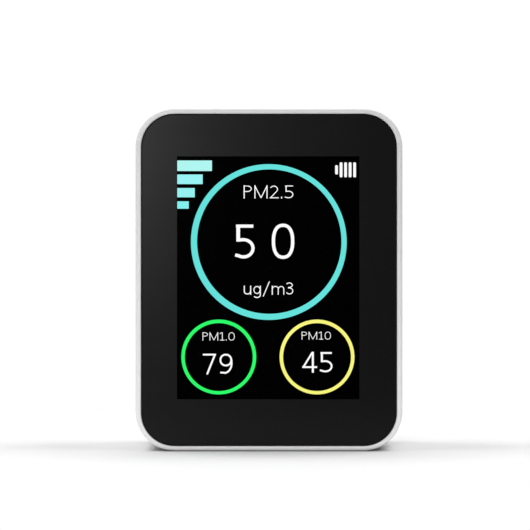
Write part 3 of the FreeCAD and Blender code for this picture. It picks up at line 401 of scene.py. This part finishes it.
# metals
def metal(name, tone, rough, grainStretch, grainScale, warm=(1.0, 1.0, 1.0), depth=0.004 * mm, stain=0.08):
    def build(paint):
        streaks = noise(paint, millimetres(paint, stretch=grainStretch), grainScale, 5.0, 0.6)
        cloud = noise(paint, millimetres(paint), 0.15, 4.0)
        slanted = millimetres(paint, stretch=(0.06, 1.4, 1.4), turn=(0.3, 0.5, 0.9))
        scratch = between(paint, noise(paint, slanted, 2.2, 2.0), 0.66, 0.72)
        low = tuple(tone * w * (1 - stain) for w in warm) + (1,)
        high = tuple(min(1.0, tone * w * (1 + stain * 0.6)) for w in warm) + (1,)
        return {
            "Base Color": blendColour(paint, spread(paint, streaks * 0.5 + cloud * 0.5, 0.0, 1.0), low, high),
            "Roughness": spread(paint, streaks, rough - 0.05, rough + 0.07) + cloud * 0.05 - scratch * 0.04,
            "Normal": relief(paint, streaks - scratch * 0.3, depth, 0.5),
        }
    return finish(name, build, {"Metallic": 1.0})


rolledSteel = metal("rolledSteel", 0.62, 0.30, (0.05, 1, 1), 7.0)
nickelPlate = metal("nickelPlate", 0.66, 0.22, (1, 0.3, 1), 6.0, (1.0, 0.98, 0.94), 0.002 * mm)
tinnedSteel = metal("tinnedSteel", 0.68, 0.34, (0.2, 1, 1), 5.0, (1.0, 0.99, 0.97))
satinFoil = metal("satinFoil", 0.66, 0.42, (1, 1, 0.4), 0.9, (0.99, 1.0, 1.02), 0.05 * mm, 0.04)
goldPlate = metal("goldPlate", 0.85, 0.20, (0.3, 1, 1), 6.0, (1.0, 0.72, 0.30), 0.002 * mm)


def buildTurnedBrass(paint):
    (x,) = axes(paint, millimetres(paint), "x")
    cloud = noise(paint, millimetres(paint), 0.4, 4.0)
    rings = pitchWave(paint, x + cloud * 0.05, 0.16)
    return {
        "Base Color": blendColour(paint, spread(paint, cloud, 0, 1),
                                  (0.62, 0.42, 0.14, 1), (0.76, 0.55, 0.22, 1)),
        "Roughness": 0.20 + rings * 0.10 + cloud * 0.06,
        "Normal": relief(paint, rings, 0.008 * mm, 0.6),
    }


turnedBrass = finish("turnedBrass", buildTurnedBrass, {"Metallic": 1.0})


def buildSinteredBronze(paint):
    pores = cells(paint, millimetres(paint), 7.0)
    pit = between(paint, pores, 0.35, 0.12)
    return {
        "Base Color": blendColour(paint, pit, (0.50, 0.32, 0.14, 1), (0.12, 0.07, 0.03, 1)),
        "Roughness": 0.38 + pit * 0.35,
        "Normal": relief(paint, 1 - pit, 0.02 * mm, 0.7),
    }


sinteredBronze = finish("sinteredBronze", buildSinteredBronze, {"Metallic": 1.0})


def buildLaminatedCore(paint):
    (y,) = axes(paint, millimetres(paint), "y")
    sheets = between(paint, pitchWave(paint, y, 0.35), 0.78, 0.95)
    rust = noise(paint, millimetres(paint), 1.2, 5.0, 0.7)
    steel = blendColour(paint, spread(paint, rust, 0, 1), (0.10, 0.085, 0.075, 1), (0.20, 0.17, 0.15, 1))
    return {
        "Base Color": blendColour(paint, sheets * 0.8, steel, grey(0.02)),
        "Roughness": spread(paint, rust, 0.38, 0.55),
        "Normal": relief(paint, 1 - sheets, 0.02 * mm, 0.8),
    }


laminatedCore = finish("laminatedCore", buildLaminatedCore, {"Metallic": 0.8})


# boards, chips and flex
boardLook = {
    "mask": (0.010, 0.085, 0.030, 1),
    "maskDeep": (0.006, 0.055, 0.020, 1),
    "copperUnder": (0.030, 0.170, 0.055, 1),
    "edge": (0.36, 0.31, 0.16, 1),
    "pad": (0.72, 0.68, 0.58, 1),
    "tracePitch": 0.9,
}


def buildSolderMask(paint):
    x, y, z = axes(paint, millimetres(paint))
    flat = millimetres(paint, stretch=(1, 0, 1))
    (facing,) = axes(paint, paint.node("ShaderNodeNewGeometry", out="True Normal"), "y")
    edge = abs(facing) < 0.5
    # blocks of parallel tracks that run across or upright, as a router lays them
    blocks = paint.node("ShaderNodeTexVoronoi", {"feature": "F1", "distance": "CHEBYCHEV"},
                        {"Vector": flat, "Scale": 0.13}, out="Color")
    pick, other, third = axes(paint, blocks)
    upright = pick > 0.5
    across = between(paint, pitchWave(paint, z, boardLook["tracePitch"]), 0.50, 0.40)
    rise = between(paint, pitchWave(paint, x, boardLook["tracePitch"]), 0.50, 0.40)
    tracks = (upright * rise + (1 - upright) * across) * (other > 0.22)
    pour = third > 0.72
    copper = paint.maths("MAXIMUM", tracks, pour)
    vias = cells(paint, flat, 0.42, randomness=0.9)
    ring = between(paint, vias, 0.115, 0.10)
    hole = between(paint, vias, 0.055, 0.045)
    weave = pitchWave(paint, x, 0.5) * pitchWave(paint, z, 0.5)
    mask = blendColour(paint, copper * 0.85, boardLook["mask"], boardLook["copperUnder"])
    mask = blendColour(paint, weave * 0.35, mask, boardLook["maskDeep"])
    face = blendColour(paint, ring, mask, boardLook["pad"])
    face = blendColour(paint, hole, face, grey(0.01))
    plies = between(paint, pitchWave(paint, y, 0.2), 0.3, 0.8)
    side = blendColour(paint, plies * 0.5, boardLook["edge"], (0.22, 0.19, 0.09, 1))
    return {
        "Base Color": blendColour(paint, edge, face, side),
        "Roughness": 0.24 + edge * 0.45 + weave * 0.05 - ring * 0.04,
        "Metallic": ring * (1 - hole) * (1 - edge) * 0.9,
        "Normal": relief(paint, copper * 0.6 + ring - hole * 1.5, 0.03 * mm, 0.7),
    }


solderMask = finish("solderMask", buildSolderMask, {"Coat Weight": 0.25, "Coat Roughness": 0.12})


def buildMouldCompound(paint):
    where = millimetres(paint)
    fine = noise(paint, where, 8.0, 4.0, 0.7)
    glass = between(paint, noise(paint, where, 14.0, 1.0), 0.66, 0.72)
    resin = blendColour(paint, noise(paint, where, 0.5, 2.0), grey(0.014), grey(0.024))
    return {
        "Base Color": blendColour(paint, glass * 0.25, resin, grey(0.12)),
        "Roughness": spread(paint, fine, 0.50, 0.66),
        "Normal": relief(paint, fine, 0.01 * mm, 0.6),
    }


mouldCompound = finish("mouldCompound", buildMouldCompound, {"Specular IOR Level": 0.4})


def speckled(name, first, second, rough, scale, depth):
    def build(paint):
        where = millimetres(paint)
        grain = noise(paint, where, scale, 4.0, 0.65)
        patch = noise(paint, where, scale * 0.12, 2.0)
        return {
            "Base Color": blendColour(paint, spread(paint, grain * 0.6 + patch * 0.4, 0, 1), first, second),
            "Roughness": spread(paint, grain, rough - 0.07, rough + 0.08),
            "Normal": relief(paint, grain, depth, 0.5),
        }
    return finish(name, build, {})


# name: first and second colour, roughness, grain per mm, relief
speckles = {
    "tantalumCase": ((0.58, 0.33, 0.035, 1), (0.70, 0.42, 0.06, 1), 0.42, 6.0, 0.008 * mm),
    "bakedCeramic": ((0.33, 0.20, 0.10, 1), (0.44, 0.29, 0.16, 1), 0.36, 8.0, 0.006 * mm),
    "redInsulation": ((0.46, 0.012, 0.012, 1), (0.56, 0.02, 0.016, 1), 0.34, 3.0, 0.006 * mm),
    "blackInsulation": (grey(0.010), grey(0.018), 0.36, 3.0, 0.006 * mm),
    "greyInsulation": (grey(0.27), grey(0.34), 0.38, 3.0, 0.006 * mm),
    "magnetRubber": (grey(0.045), grey(0.075), 0.52, 5.0, 0.01 * mm),
}
speckledFinish = {name: speckled(name, *settings) for name, settings in speckles.items()}


def buildCopperFlex(paint):
    (x,) = axes(paint, millimetres(paint), "x")
    tracks = between(paint, pitchWave(paint, x, 0.5), 0.62, 0.45)
    edge = between(paint, abs(x), 7.9, 8.0)
    cloud = noise(paint, millimetres(paint), 0.5, 4.0)
    film = blendColour(paint, spread(paint, cloud, 0, 1), (0.42, 0.16, 0.015, 1), (0.52, 0.22, 0.03, 1))
    trackShare = tracks * (1 - edge)
    return {
        "Base Color": blendColour(paint, trackShare, film, (0.70, 0.34, 0.08, 1)),
        "Roughness": 0.24 + cloud * 0.12,
        "Metallic": trackShare * 0.55,
        "Normal": relief(paint, trackShare, 0.02 * mm, 0.6),
    }


copperFlex = finish("copperFlex", buildCopperFlex, {"Coat Weight": 0.4, "Coat Roughness": 0.1})


def buildAmberTape(paint):
    creases = noise(paint, millimetres(paint, stretch=(1, 0.6, 0.25)), 1.1, 5.0, 0.6)
    return {
        "Base Color": blendColour(paint, spread(paint, creases, 0, 1),
                                  (0.50, 0.25, 0.03, 1), (0.66, 0.37, 0.07, 1)),
        "Roughness": spread(paint, noise(paint, millimetres(paint), 2.5, 3.0), 0.16, 0.28),
        "Normal": relief(paint, creases, 0.06 * mm, 0.6),
    }


amberTape = finish("amberTape", buildAmberTape, {"Coat Weight": 0.5, "Coat Roughness": 0.08})


def buildClearLens(paint):
    swirl = noise(paint, millimetres(paint), 0.8, 3.0)
    return {
        "Base Color": blendColour(paint, swirl, (0.78, 0.82, 0.86, 1), (0.86, 0.88, 0.90, 1)),
        "Roughness": spread(paint, swirl, 0.02, 0.05),
        "Alpha": 0.30 + swirl * 0.12,
    }


clearLens = finish("clearLens", buildClearLens, {"IOR": 1.49})

# each model node takes its finish
finishes = {
    "case_white": caseWhite, "button_white": buttonWhite, "window": windowAcrylic,
    "window_mask": printedFilm, "tape": foamTape, "polariser": polariserFilm,
    "display_glass": cellGlass, "chip_silicon": bareSilicon, "display_frame": frameWhite,
    "light_panel": lightGuide, "steel": rolledSteel, "screw_steel": nickelPlate,
    "flex": copperFlex, "connector": creamNylon, "dark_plastic": mouldedBlack,
    "board": solderMask, "chip": mouldCompound, "tantalum": speckledFinish["tantalumCase"],
    "ceramic": speckledFinish["bakedCeramic"], "switch": tinnedSteel, "foil": satinFoil,
    "amber_tape": amberTape, "red_wire": speckledFinish["redInsulation"],
    "black_wire": speckledFinish["blackInsulation"], "grey_wire": speckledFinish["greyInsulation"],
    "brass": turnedBrass, "lens": clearLens, "bronze": sinteredBronze, "core": laminatedCore,
}
ownFinish = {"fan_magnet": speckledFinish["magnetRubber"]}
for part in frame["record"]["subparts"]:
    coated = frame["nodes"][part["node"]]
    look = ownFinish.get(part["node"], finishes[part["material_slot"]])
    coated.data.materials.clear()
    coated.data.materials.append(look)
print("finishes:", len(finishes) + len(ownFinish))


# new pieces
def makePiece(name, shape, look, body, smooth=False):
    mesh = bpy.data.meshes.new(name)
    for face in shape.faces:
        face.smooth = smooth
    shape.to_mesh(mesh)
    shape.free()
    piece = bpy.data.objects.new(name, mesh)
    bpy.context.scene.collection.objects.link(piece)
    mesh.materials.append(look)
    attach(piece, body)


def boxBetween(shape, low, high, edgeRound):
    # a box from corner to corner, with all its edges rounded
    size = Vector(high) - Vector(low)
    place = Matrix.Translation((Vector(high) + Vector(low)) / 2) @ Matrix.Diagonal((*size, 1))
    made = bmesh.ops.create_cube(shape, size=1.0, matrix=place)
    edges = list({edge for corner in made["verts"] for edge in corner.link_edges})
    bmesh.ops.bevel(shape, geom=edges, offset=edgeRound, offset_type="OFFSET", segments=1,
                    profile=0.5, affect="EDGES", material=-1)


# the lit picture
picture = {
    "lift": 0.02 * mm,             # how thick the lit layer is
    "edgeRound": 0.006 * mm,
    "through": 0.955,              # light that the window lets through
    "cyan": (101, 227, 220),
    "green": (44, 250, 105),
    "yellow": (248, 246, 125),
    "white": (255, 255, 255),
    "ringSteps": 128,
    "gridShade": 0.10,             # how dark the lines between dots are
    # name, colour, centre x and z, outer radius, thickness, x and z step of the inner edge
    "rings": [
        ("screenRingLarge", "cyan", 0.13, 8.54, 18.61, 1.355, 0.108, 0.104),
        ("screenRingLeft", "green", -11.82, -18.92, 8.95, 0.83, 0, -0.03),
        ("screenRingRight", "yellow", 11.65, -18.92, 8.94, 0.83, 0, -0.03),
    ],
    "barLeft": -0.10,              # from the lit area's left edge
    "bars": [                      # width, top below the display's top, height, colour
        (8.36, 0.90, 2.52, (176, 247, 241)),
        (6.14, 4.25, 2.29, (154, 244, 245)),
        (4.26, 7.48, 2.21, (150, 242, 241)),
        (2.82, 10.66, 1.76, (132, 242, 239)),
    ],
    "battery": {"width": 0.66, "height": 3.56, "pitch": 1.08, "count": 4, "right": 20.96,
                "top": 27.57, "tipWidth": 0.66, "tipHeight": 2.20, "round": 0.22},
}
pictureFrontY = displayLow.y - picture["lift"]


def lit(name, screenColour):
    colour = fromScreen(*screenColour, 1 / picture["through"])

    def build(paint):
        glow = noise(paint, millimetres(paint), 0.12, 2.0)
        dimmer = tuple(c * 0.985 for c in colour[:3]) + (1,)
        brighter = tuple(c * 1.015 for c in colour[:3]) + (1,)
        even = blendColour(paint, spread(paint, glow, 0.0, 1.0), dimmer, brighter)
        return {"Emission Color": blendColour(paint, dotGrid(paint) * picture["gridShade"], even, grey(0.0))}
    return finish(name, build, {"Base Color": grey(0.0), "Roughness": 0.5, "Specular IOR Level": 0.0,
                                "Emission Strength": 1.0})


def onScreen(x, z):
    return Vector((pictureCentre.x + x * mm, 0, pictureCentre.z + z * mm))


litFinishes = {}
for name in ("cyan", "green", "yellow", "white"):
    litFinishes[name] = lit("lit" + name.capitalize(), picture[name])

for name, colourName, x, z, radius, thickness, stepX, stepZ in picture["rings"]:
    shape = bmesh.new()
    centre = onScreen(x, z)
    half = thickness / 2 * mm
    middle = (radius - thickness / 2) * mm
    square = Matrix.Rotation(math.radians(45), 4, "Z")
    profile = Matrix.Translation(centre + Vector((middle, displayLow.y - picture["lift"] / 2, 0)))
    profile = profile @ Matrix.Diagonal((half, picture["lift"] / 2, 1, 1)) @ square
    bmesh.ops.create_circle(shape, cap_ends=False, radius=math.sqrt(2), segments=4, matrix=profile)
    bmesh.ops.spin(shape, geom=shape.verts[:] + shape.edges[:], cent=centre, axis=(0, 1, 0),
                   angle=2 * math.pi, steps=picture["ringSteps"], use_merge=True, use_duplicate=False)
    inner = [vert for vert in shape.verts if math.hypot(vert.co.x - centre.x, vert.co.z - centre.z) < middle]
    bmesh.ops.translate(shape, verts=inner, vec=(stepX * mm, 0, stepZ * mm))
    bmesh.ops.recalc_face_normals(shape, faces=shape.faces)
    makePiece(name, shape, litFinishes[colourName], "case")

for k, (width, top, height, colour) in enumerate(picture["bars"]):
    shape = bmesh.new()
    left = pictureCentre.x - pictureHalfX + picture["barLeft"] * mm
    upper = pictureCentre.z + pictureHalfZ - top * mm
    boxBetween(shape, (left, pictureFrontY, upper - height * mm), (left + width * mm, displayLow.y, upper),
               picture["edgeRound"])
    makePiece("screenBar%d" % (k + 1), shape, lit("litBar%d" % (k + 1), colour), "case")

shape = bmesh.new()
icon = picture["battery"]
for k in range(icon["count"] + 1):
    tip = k == icon["count"]
    right = icon["right"] - k * icon["pitch"]
    width, height = (icon["tipWidth"], icon["tipHeight"]) if tip else (icon["width"], icon["height"])
    middle = icon["top"] - icon["height"] / 2
    low, high = onScreen(right - width, middle - height / 2), onScreen(right, middle + height / 2)
    low.y, high.y = pictureFrontY, displayLow.y
    size = high - low
    place = Matrix.Translation((high + low) / 2) @ Matrix.Diagonal((*size, 1))
    made = bmesh.ops.create_cube(shape, size=1.0, matrix=place)
    corners = [edge for edge in {edge for vert in made["verts"] for edge in vert.link_edges}
               if abs(edge.verts[0].co.y - edge.verts[1].co.y) > size.y / 2]
    bmesh.ops.bevel(shape, geom=corners, offset=icon["round"] * mm, offset_type="OFFSET", segments=3,
                    profile=0.5, affect="EDGES", material=-1)
makePiece("screenBattery", shape, litFinishes["white"], "case")


# lettering of even strokes
def bow(x, z, halfX, halfZ, start, end, steps=14):
    turns = [math.radians(start + (end - start) * k / steps) for k in range(steps + 1)]
    return [(x + halfX * math.cos(a), z + halfZ * math.sin(a)) for a in turns]


def oval(x, z, halfX, halfZ, squareness=2.35, steps=40):
    points = []
    for k in range(steps + 1):
        a = 2 * math.pi * k / steps + math.pi / 2
        c, s = math.cos(a), math.sin(a)
        points.append((x + halfX * math.copysign(abs(c) ** (2 / squareness), c),
                       z + halfZ * math.copysign(abs(s) ** (2 / squareness), s)))
    return points


lettering = {"stroke": 0.112, "gap": 0.11}   # in cap heights
pen = lettering["stroke"] / 2       # half a stroke
# each glyph is its width and its strokes, in cap heights
glyphs = {
    "5": (0.58, [[(0.525, 1 - pen), (0.035, 1 - pen)], [(0.095, 1 - pen), (0.095, 0.50)],
                 [(0.095, 0.545)] + bow(0.245, 0.306, 0.272, 0.248, 92, -118, 22) + [(0.01, 0.115)]]),
    "0": (0.64, [oval(0.32, 0.5, 0.32 - pen, 0.5 - pen)]),
    "P": (0.56, [[(pen, 0), (pen, 1)],
                 [(pen, 1 - pen), (0.26, 1 - pen)] + bow(0.26, 0.735, 0.24, 0.204, 90, -90)
                 + [(pen, 0.531)]]),
    "M": (0.86, [[(pen, 0), (pen, 1)], [(pen, 0.95), (0.43, 0.05)], [(0.43, 0.05), (0.86 - pen, 0.95)],
                 [(0.86 - pen, 1), (0.86 - pen, 0)]]),
    "2": (0.56, [bow(0.26, 0.70, 0.225, 0.239, 155, -30, 16) + [(0.07, 0.075)], [(0.0, pen), (0.56, pen)]]),
    ".": (0.14, [[(0.07, 0.0), (0.07, 0.14)]]),
    "1": (0.46, [[(0.02, 0.83), (0.26, 0.965)], [(0.26, 0), (0.26, 1)], [(0.04, pen), (0.46, pen)]]),
    "7": (0.56, [[(0.0, 1 - pen), (0.54, 1 - pen)], [(0.505, 0.96), (0.17, 0.0)]]),
    "9": (0.58, [oval(0.28, 0.685, 0.28 - pen, 0.315 - pen, 2.1, 32),
                 [(0.52, 0.70)] + bow(0.20, 0.52, 0.32, 0.459, 10, -78, 14) + [(0.05, 0.09)]]),
    "4": (0.64, [[(0.43, 0.965), (0.05, 0.275)], [(0.0, 0.265), (0.64, 0.265)], [(0.455, 0), (0.455, 1)]]),
    "3": (0.52, [bow(0.21, 0.76, 0.21, 0.18, 150, -90, 16) + [(0.13, 0.58)],
                 [(0.13, 0.53)] + bow(0.22, 0.30, 0.235, 0.238, 90, -150, 18)]),
    "u": (0.56, [[(pen, 0.72), (pen, 0.26)] + bow(0.27, 0.26, 0.27 - pen, 0.20, 180, 350) + [(0.50, 0.30)],
                 [(0.50, 0.0), (0.50, 0.72)]]),
    "g": (0.56, [oval(0.27, 0.38, 0.27 - pen, 0.32 - pen * 0.8, 2.1, 28),
                 [(0.50, 0.72), (0.50, 0.0)] + bow(0.27, -0.02, 0.23, 0.20, 0, -150, 14)]),
    "/": (0.50, [[(0.03, -0.14), (0.47, 1.06)]]),
    "m": (0.92, [[(pen, 0.0), (pen, 0.72)],
                 [(pen, 0.45)] + bow(0.27, 0.46, 0.20, 0.20, 175, 0, 12) + [(0.47, 0.0)],
                 [(0.47, 0.45)] + bow(0.67, 0.46, 0.19, 0.20, 175, 0, 12) + [(0.86, 0.0)]]),
}
readouts = [                        # words, centre x, baseline z, width, cap height, stroke share
    ("PM2.5", 0.07, 18.93, 12.1, 3.17, 0.68),
    ("5", -5.55, 4.50, 4.86, 8.3, 0.94),
    ("0", 3.53, 4.42, 5.57, 8.6, 0.94),
    ("ug/m3", 0.08, -4.05, 12.0, 3.0, 0.72),
    ("PM1.0", -11.86, -15.01, 7.8, 2.0, 0.74),
    ("79", -12.01, -23.08, 7.2, 5.0, 0.86),
    ("PM10", 11.47, -14.78, 7.1, 1.92, 0.74),
    ("45", 11.81, -22.66, 7.35, 4.97, 0.86),
]
shape = bmesh.new()
for words, x, z, width, capHeight, strokeShare in readouts:
    placed, cursor = [], 0.0
    for letter in words:
        glyphWidth, strokes = glyphs[letter]
        placed.append((cursor, strokes))
        cursor += glyphWidth + lettering["gap"]
    drawnWidth = (cursor - lettering["gap"]) * capHeight
    squeeze = width / drawnWidth
    curve = bpy.data.curves.new("strokes", "CURVE")
    curve.dimensions = "3D"
    curve.bevel_depth = lettering["stroke"] * strokeShare * capHeight / 2 * mm
    curve.bevel_resolution = 1
    curve.use_fill_caps = True
    for offset, strokes in placed:
        for stroke in strokes:
            spline = curve.splines.new("POLY")
            closed = (Vector(stroke[0]) - Vector(stroke[-1])).length < 1e-6
            points = stroke[:-1] if closed else stroke
            spline.points.add(len(points) - 1)
            spline.use_cyclic_u = closed
            for point, (px, pz) in zip(spline.points, points):
                point.co = ((offset + px) * capHeight * squeeze * mm, 0, pz * capHeight * mm, 1)
    drawn = bpy.data.objects.new("strokes", curve)
    bpy.context.scene.collection.objects.link(drawn)
    bpy.context.view_layer.update()
    mesh = bpy.data.meshes.new_from_object(drawn.evaluated_get(bpy.context.evaluated_depsgraph_get()))
    flat = picture["lift"] / 2 / curve.bevel_depth
    start = onScreen(x - width / 2, z)
    start.y = displayLow.y - picture["lift"] / 2
    mesh.transform(Matrix.Translation(start) @ Matrix.Diagonal((1, flat, 1, 1)))
    shape.from_mesh(mesh)
    bpy.data.objects.remove(drawn)
    bpy.data.curves.remove(curve)
    bpy.data.meshes.remove(mesh)
bmesh.ops.recalc_face_normals(shape, faces=shape.faces)
makePiece("screenLettering", shape, litFinishes["white"], "case")
print("picture done")

# gold strips on both sides of the charging port's contact board
contacts = {"count": 12, "pitch": 0.5, "width": 0.26, "reach": 3.2, "setback": 0.30, "proud": 0.04,
            "edgeRound": 0.012, "boardThickness": 0.70}
tongueLow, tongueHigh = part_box("port_contacts")
tongueZ = (tongueLow.z + tongueHigh.z) / 2
tongueY = (tongueLow.y + tongueHigh.y) / 2
tongueHalfY = contacts["boardThickness"] / 2 * mm
shape = bmesh.new()
for k in range(contacts["count"]):
    z = tongueZ + (k - (contacts["count"] - 1) / 2) * contacts["pitch"] * mm
    outer = tongueHigh.x - contacts["setback"] * mm
    inner = outer - contacts["reach"] * mm
    halfWidth = contacts["width"] / 2 * mm
    for side in (-1, 1):
        faceY = tongueY + side * tongueHalfY
        proudY = faceY + side * contacts["proud"] * mm
        low = (inner, min(faceY, proudY), z - halfWidth)
        high = (outer, max(faceY, proudY), z + halfWidth)
        boxBetween(shape, low, high, contacts["edgeRound"] * mm)
makePiece("portContactStrips", shape, goldPlate, "case")

# woven dust screens inside the vents, held in the sealing foam's windows
screen = {
    "pitch": 0.62,
    "thread": 0.13,
    "fromLid": 0.25,
    "crossStep": 1.2,              # how far behind the crossing threads lie, in half threads
    "halfX": 9.35,                 # half the foam's window
    "halfZ": 10.75,
}


def layThread(shape, place, length):
    # one thread of the screen, along its place's Z
    radius = screen["thread"] / 2 * mm
    bmesh.ops.create_cone(shape, cap_ends=True, segments=6, radius1=radius, radius2=radius, depth=1.0,
                          matrix=place @ Matrix.Diagonal((1, 1, length, 1)))


gasketLow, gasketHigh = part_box("sensor_gasket")
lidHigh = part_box("sensor_lid")[1]
ventCentreZ = (gasketLow.z + gasketHigh.z) / 2
fanCentre = (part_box("fan_bearing")[0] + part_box("fan_bearing")[1]) / 2
threadY = lidHigh.y + screen["fromLid"] * mm
crossY = threadY + screen["thread"] / 2 * screen["crossStep"] * mm
sideways = Matrix.Rotation(math.radians(90), 4, "Y")
for name, centreX in (("dustScreenFan", fanCentre.x), ("dustScreenIntake", -fanCentre.x)):
    shape = bmesh.new()
    besideX = int(2 * screen["halfX"] / screen["pitch"]) // 2
    besideZ = int(2 * screen["halfZ"] / screen["pitch"]) // 2
    for k in range(-besideX, besideX + 1):
        x = centreX + k * screen["pitch"] * mm
        layThread(shape, Matrix.Translation((x, threadY, ventCentreZ)), 2 * screen["halfZ"] * mm)
    for k in range(-besideZ, besideZ + 1):
        z = ventCentreZ + k * screen["pitch"] * mm
        layThread(shape, Matrix.Translation((centreX, crossY, z)) @ sideways, 2 * screen["halfX"] * mm)
    bmesh.ops.recalc_face_normals(shape, faces=shape.faces)
    makePiece(name, shape, mouldedBlack, "case", smooth=True)
print("port contacts and dust screens done")

# floor, lights and surroundings
stage = {
    "floorRadius": 0.55,
    "floorFront": -0.09,           # where the board ends in front of the case
    "floorBack": 0.12,
    "floorTone": 0.87,
    "floorSteps": 96,
    # painted contact shadow on the floor, darkest right at the case's front
    "contactShadowLine": (2.4, 0.3),     # mm in front of the case, where it begins and is darkest
    "contactShadowEnds": (9, 2),         # mm in from the case's sides, where it fades
    "contactShade": 0.78,
    "skyHigh": 0.26,
    "skyLow": 0.14,
    "seenSky": 1.02,               # behind the board, for the camera alone
    "aim": (0.0, 0.0, 0.04),       # what the lamps point at
    "lamps": [                     # name, place, size, watts
        ("keyLight", (-0.3495, -1.432, 0.2204), 0.181, 9.6),
        ("backTopLight", (0.0, 0.35, 0.95), 0.5, 1.6),
        ("leftHighLight", (-0.45, 0.05, 0.95), 0.5, 4.95),
        ("rightHighLight", (0.45, 0.05, 0.95), 0.5, 4.95),
    ],
}


def buildFloor(paint):
    # pale board, with a painted contact shadow: a dark line where the case stands on it
    slow = noise(paint, millimetres(paint), 0.004, 3.0)
    x, y = axes(paint, millimetres(paint), "xy")
    caseFront, caseSide = cadBox[0].y / mm, cadBox[1].x / mm
    shadowStart, shadowDarkest = stage["contactShadowLine"]
    fadeStart, fadeEnd = stage["contactShadowEnds"]
    near = between(paint, y, caseFront - shadowStart, caseFront - shadowDarkest)
    along = 1 - between(paint, abs(x), caseSide - fadeStart, caseSide - fadeEnd)
    tone = stage["floorTone"]
    pale = blendColour(paint, spread(paint, slow, 0, 1), grey(tone), grey(tone * 1.01))
    return {
        # painted contact shadow: the board's colour drawn towards black along the case's front
        "Base Color": blendColour(paint, near * along * stage["contactShade"], pale, grey(0.0)),
        "Roughness": spread(paint, slow, 0.85, 0.95),
    }


floorLook = finish("paleFloor", buildFloor, {"Specular IOR Level": 0.0})
shape = bmesh.new()
floorMiddle = (stage["floorBack"] + stage["floorFront"]) / 2
floorHalf = (stage["floorBack"] - stage["floorFront"]) / 2
floorPlace = Matrix.Translation((0, floorMiddle, 0))
floorPlace = floorPlace @ Matrix.Diagonal((stage["floorRadius"], floorHalf, 1, 1))
bmesh.ops.create_circle(shape, cap_ends=True, radius=1.0, segments=stage["floorSteps"], matrix=floorPlace)
floorMesh = bpy.data.meshes.new("floor")
shape.to_mesh(floorMesh)
shape.free()
floorMesh.materials.append(floorLook)
floor = bpy.data.objects.new("floor", floorMesh)
bpy.context.scene.collection.objects.link(floor)

world = bpy.data.worlds.new("studio")
bpy.context.scene.world = world
world.use_nodes = True
world.node_tree.nodes.clear()
sky = Shade(world.node_tree)
worldOut = world.node_tree.nodes.new("ShaderNodeOutputWorld")
(upward,) = axes(sky, sky.node("ShaderNodeTexCoord", out="Generated"), "z")
dome = spread(sky, upward * 0.25 + 0.5, stage["skyLow"], stage["skyHigh"])
seen = sky.node("ShaderNodeLightPath", out="Is Camera Ray")
strength = seen * stage["seenSky"] + (1 - seen) * dome
background = sky.node("ShaderNodeBackground", inputs={"Color": grey(1.0), "Strength": strength})
world.node_tree.links.new(background.out, worldOut.inputs["Surface"])


def areaLight(name, place, size, power):
    lamp = bpy.data.lights.new(name, "AREA")
    lamp.shape = "SQUARE"
    lamp.size = size
    lamp.energy = power
    holder = bpy.data.objects.new(name, lamp)
    holder.location = place
    holder.rotation_mode = "QUATERNION"
    holder.rotation_quaternion = (Vector(stage["aim"]) - Vector(place)).to_track_quat("-Z", "Y")
    bpy.context.scene.collection.objects.link(holder)


for lamp in stage["lamps"]:
    areaLight(*lamp)
bpy.context.scene.view_settings.view_transform = "Standard"
bpy.context.scene.view_settings.look = "None"
print("stage done")
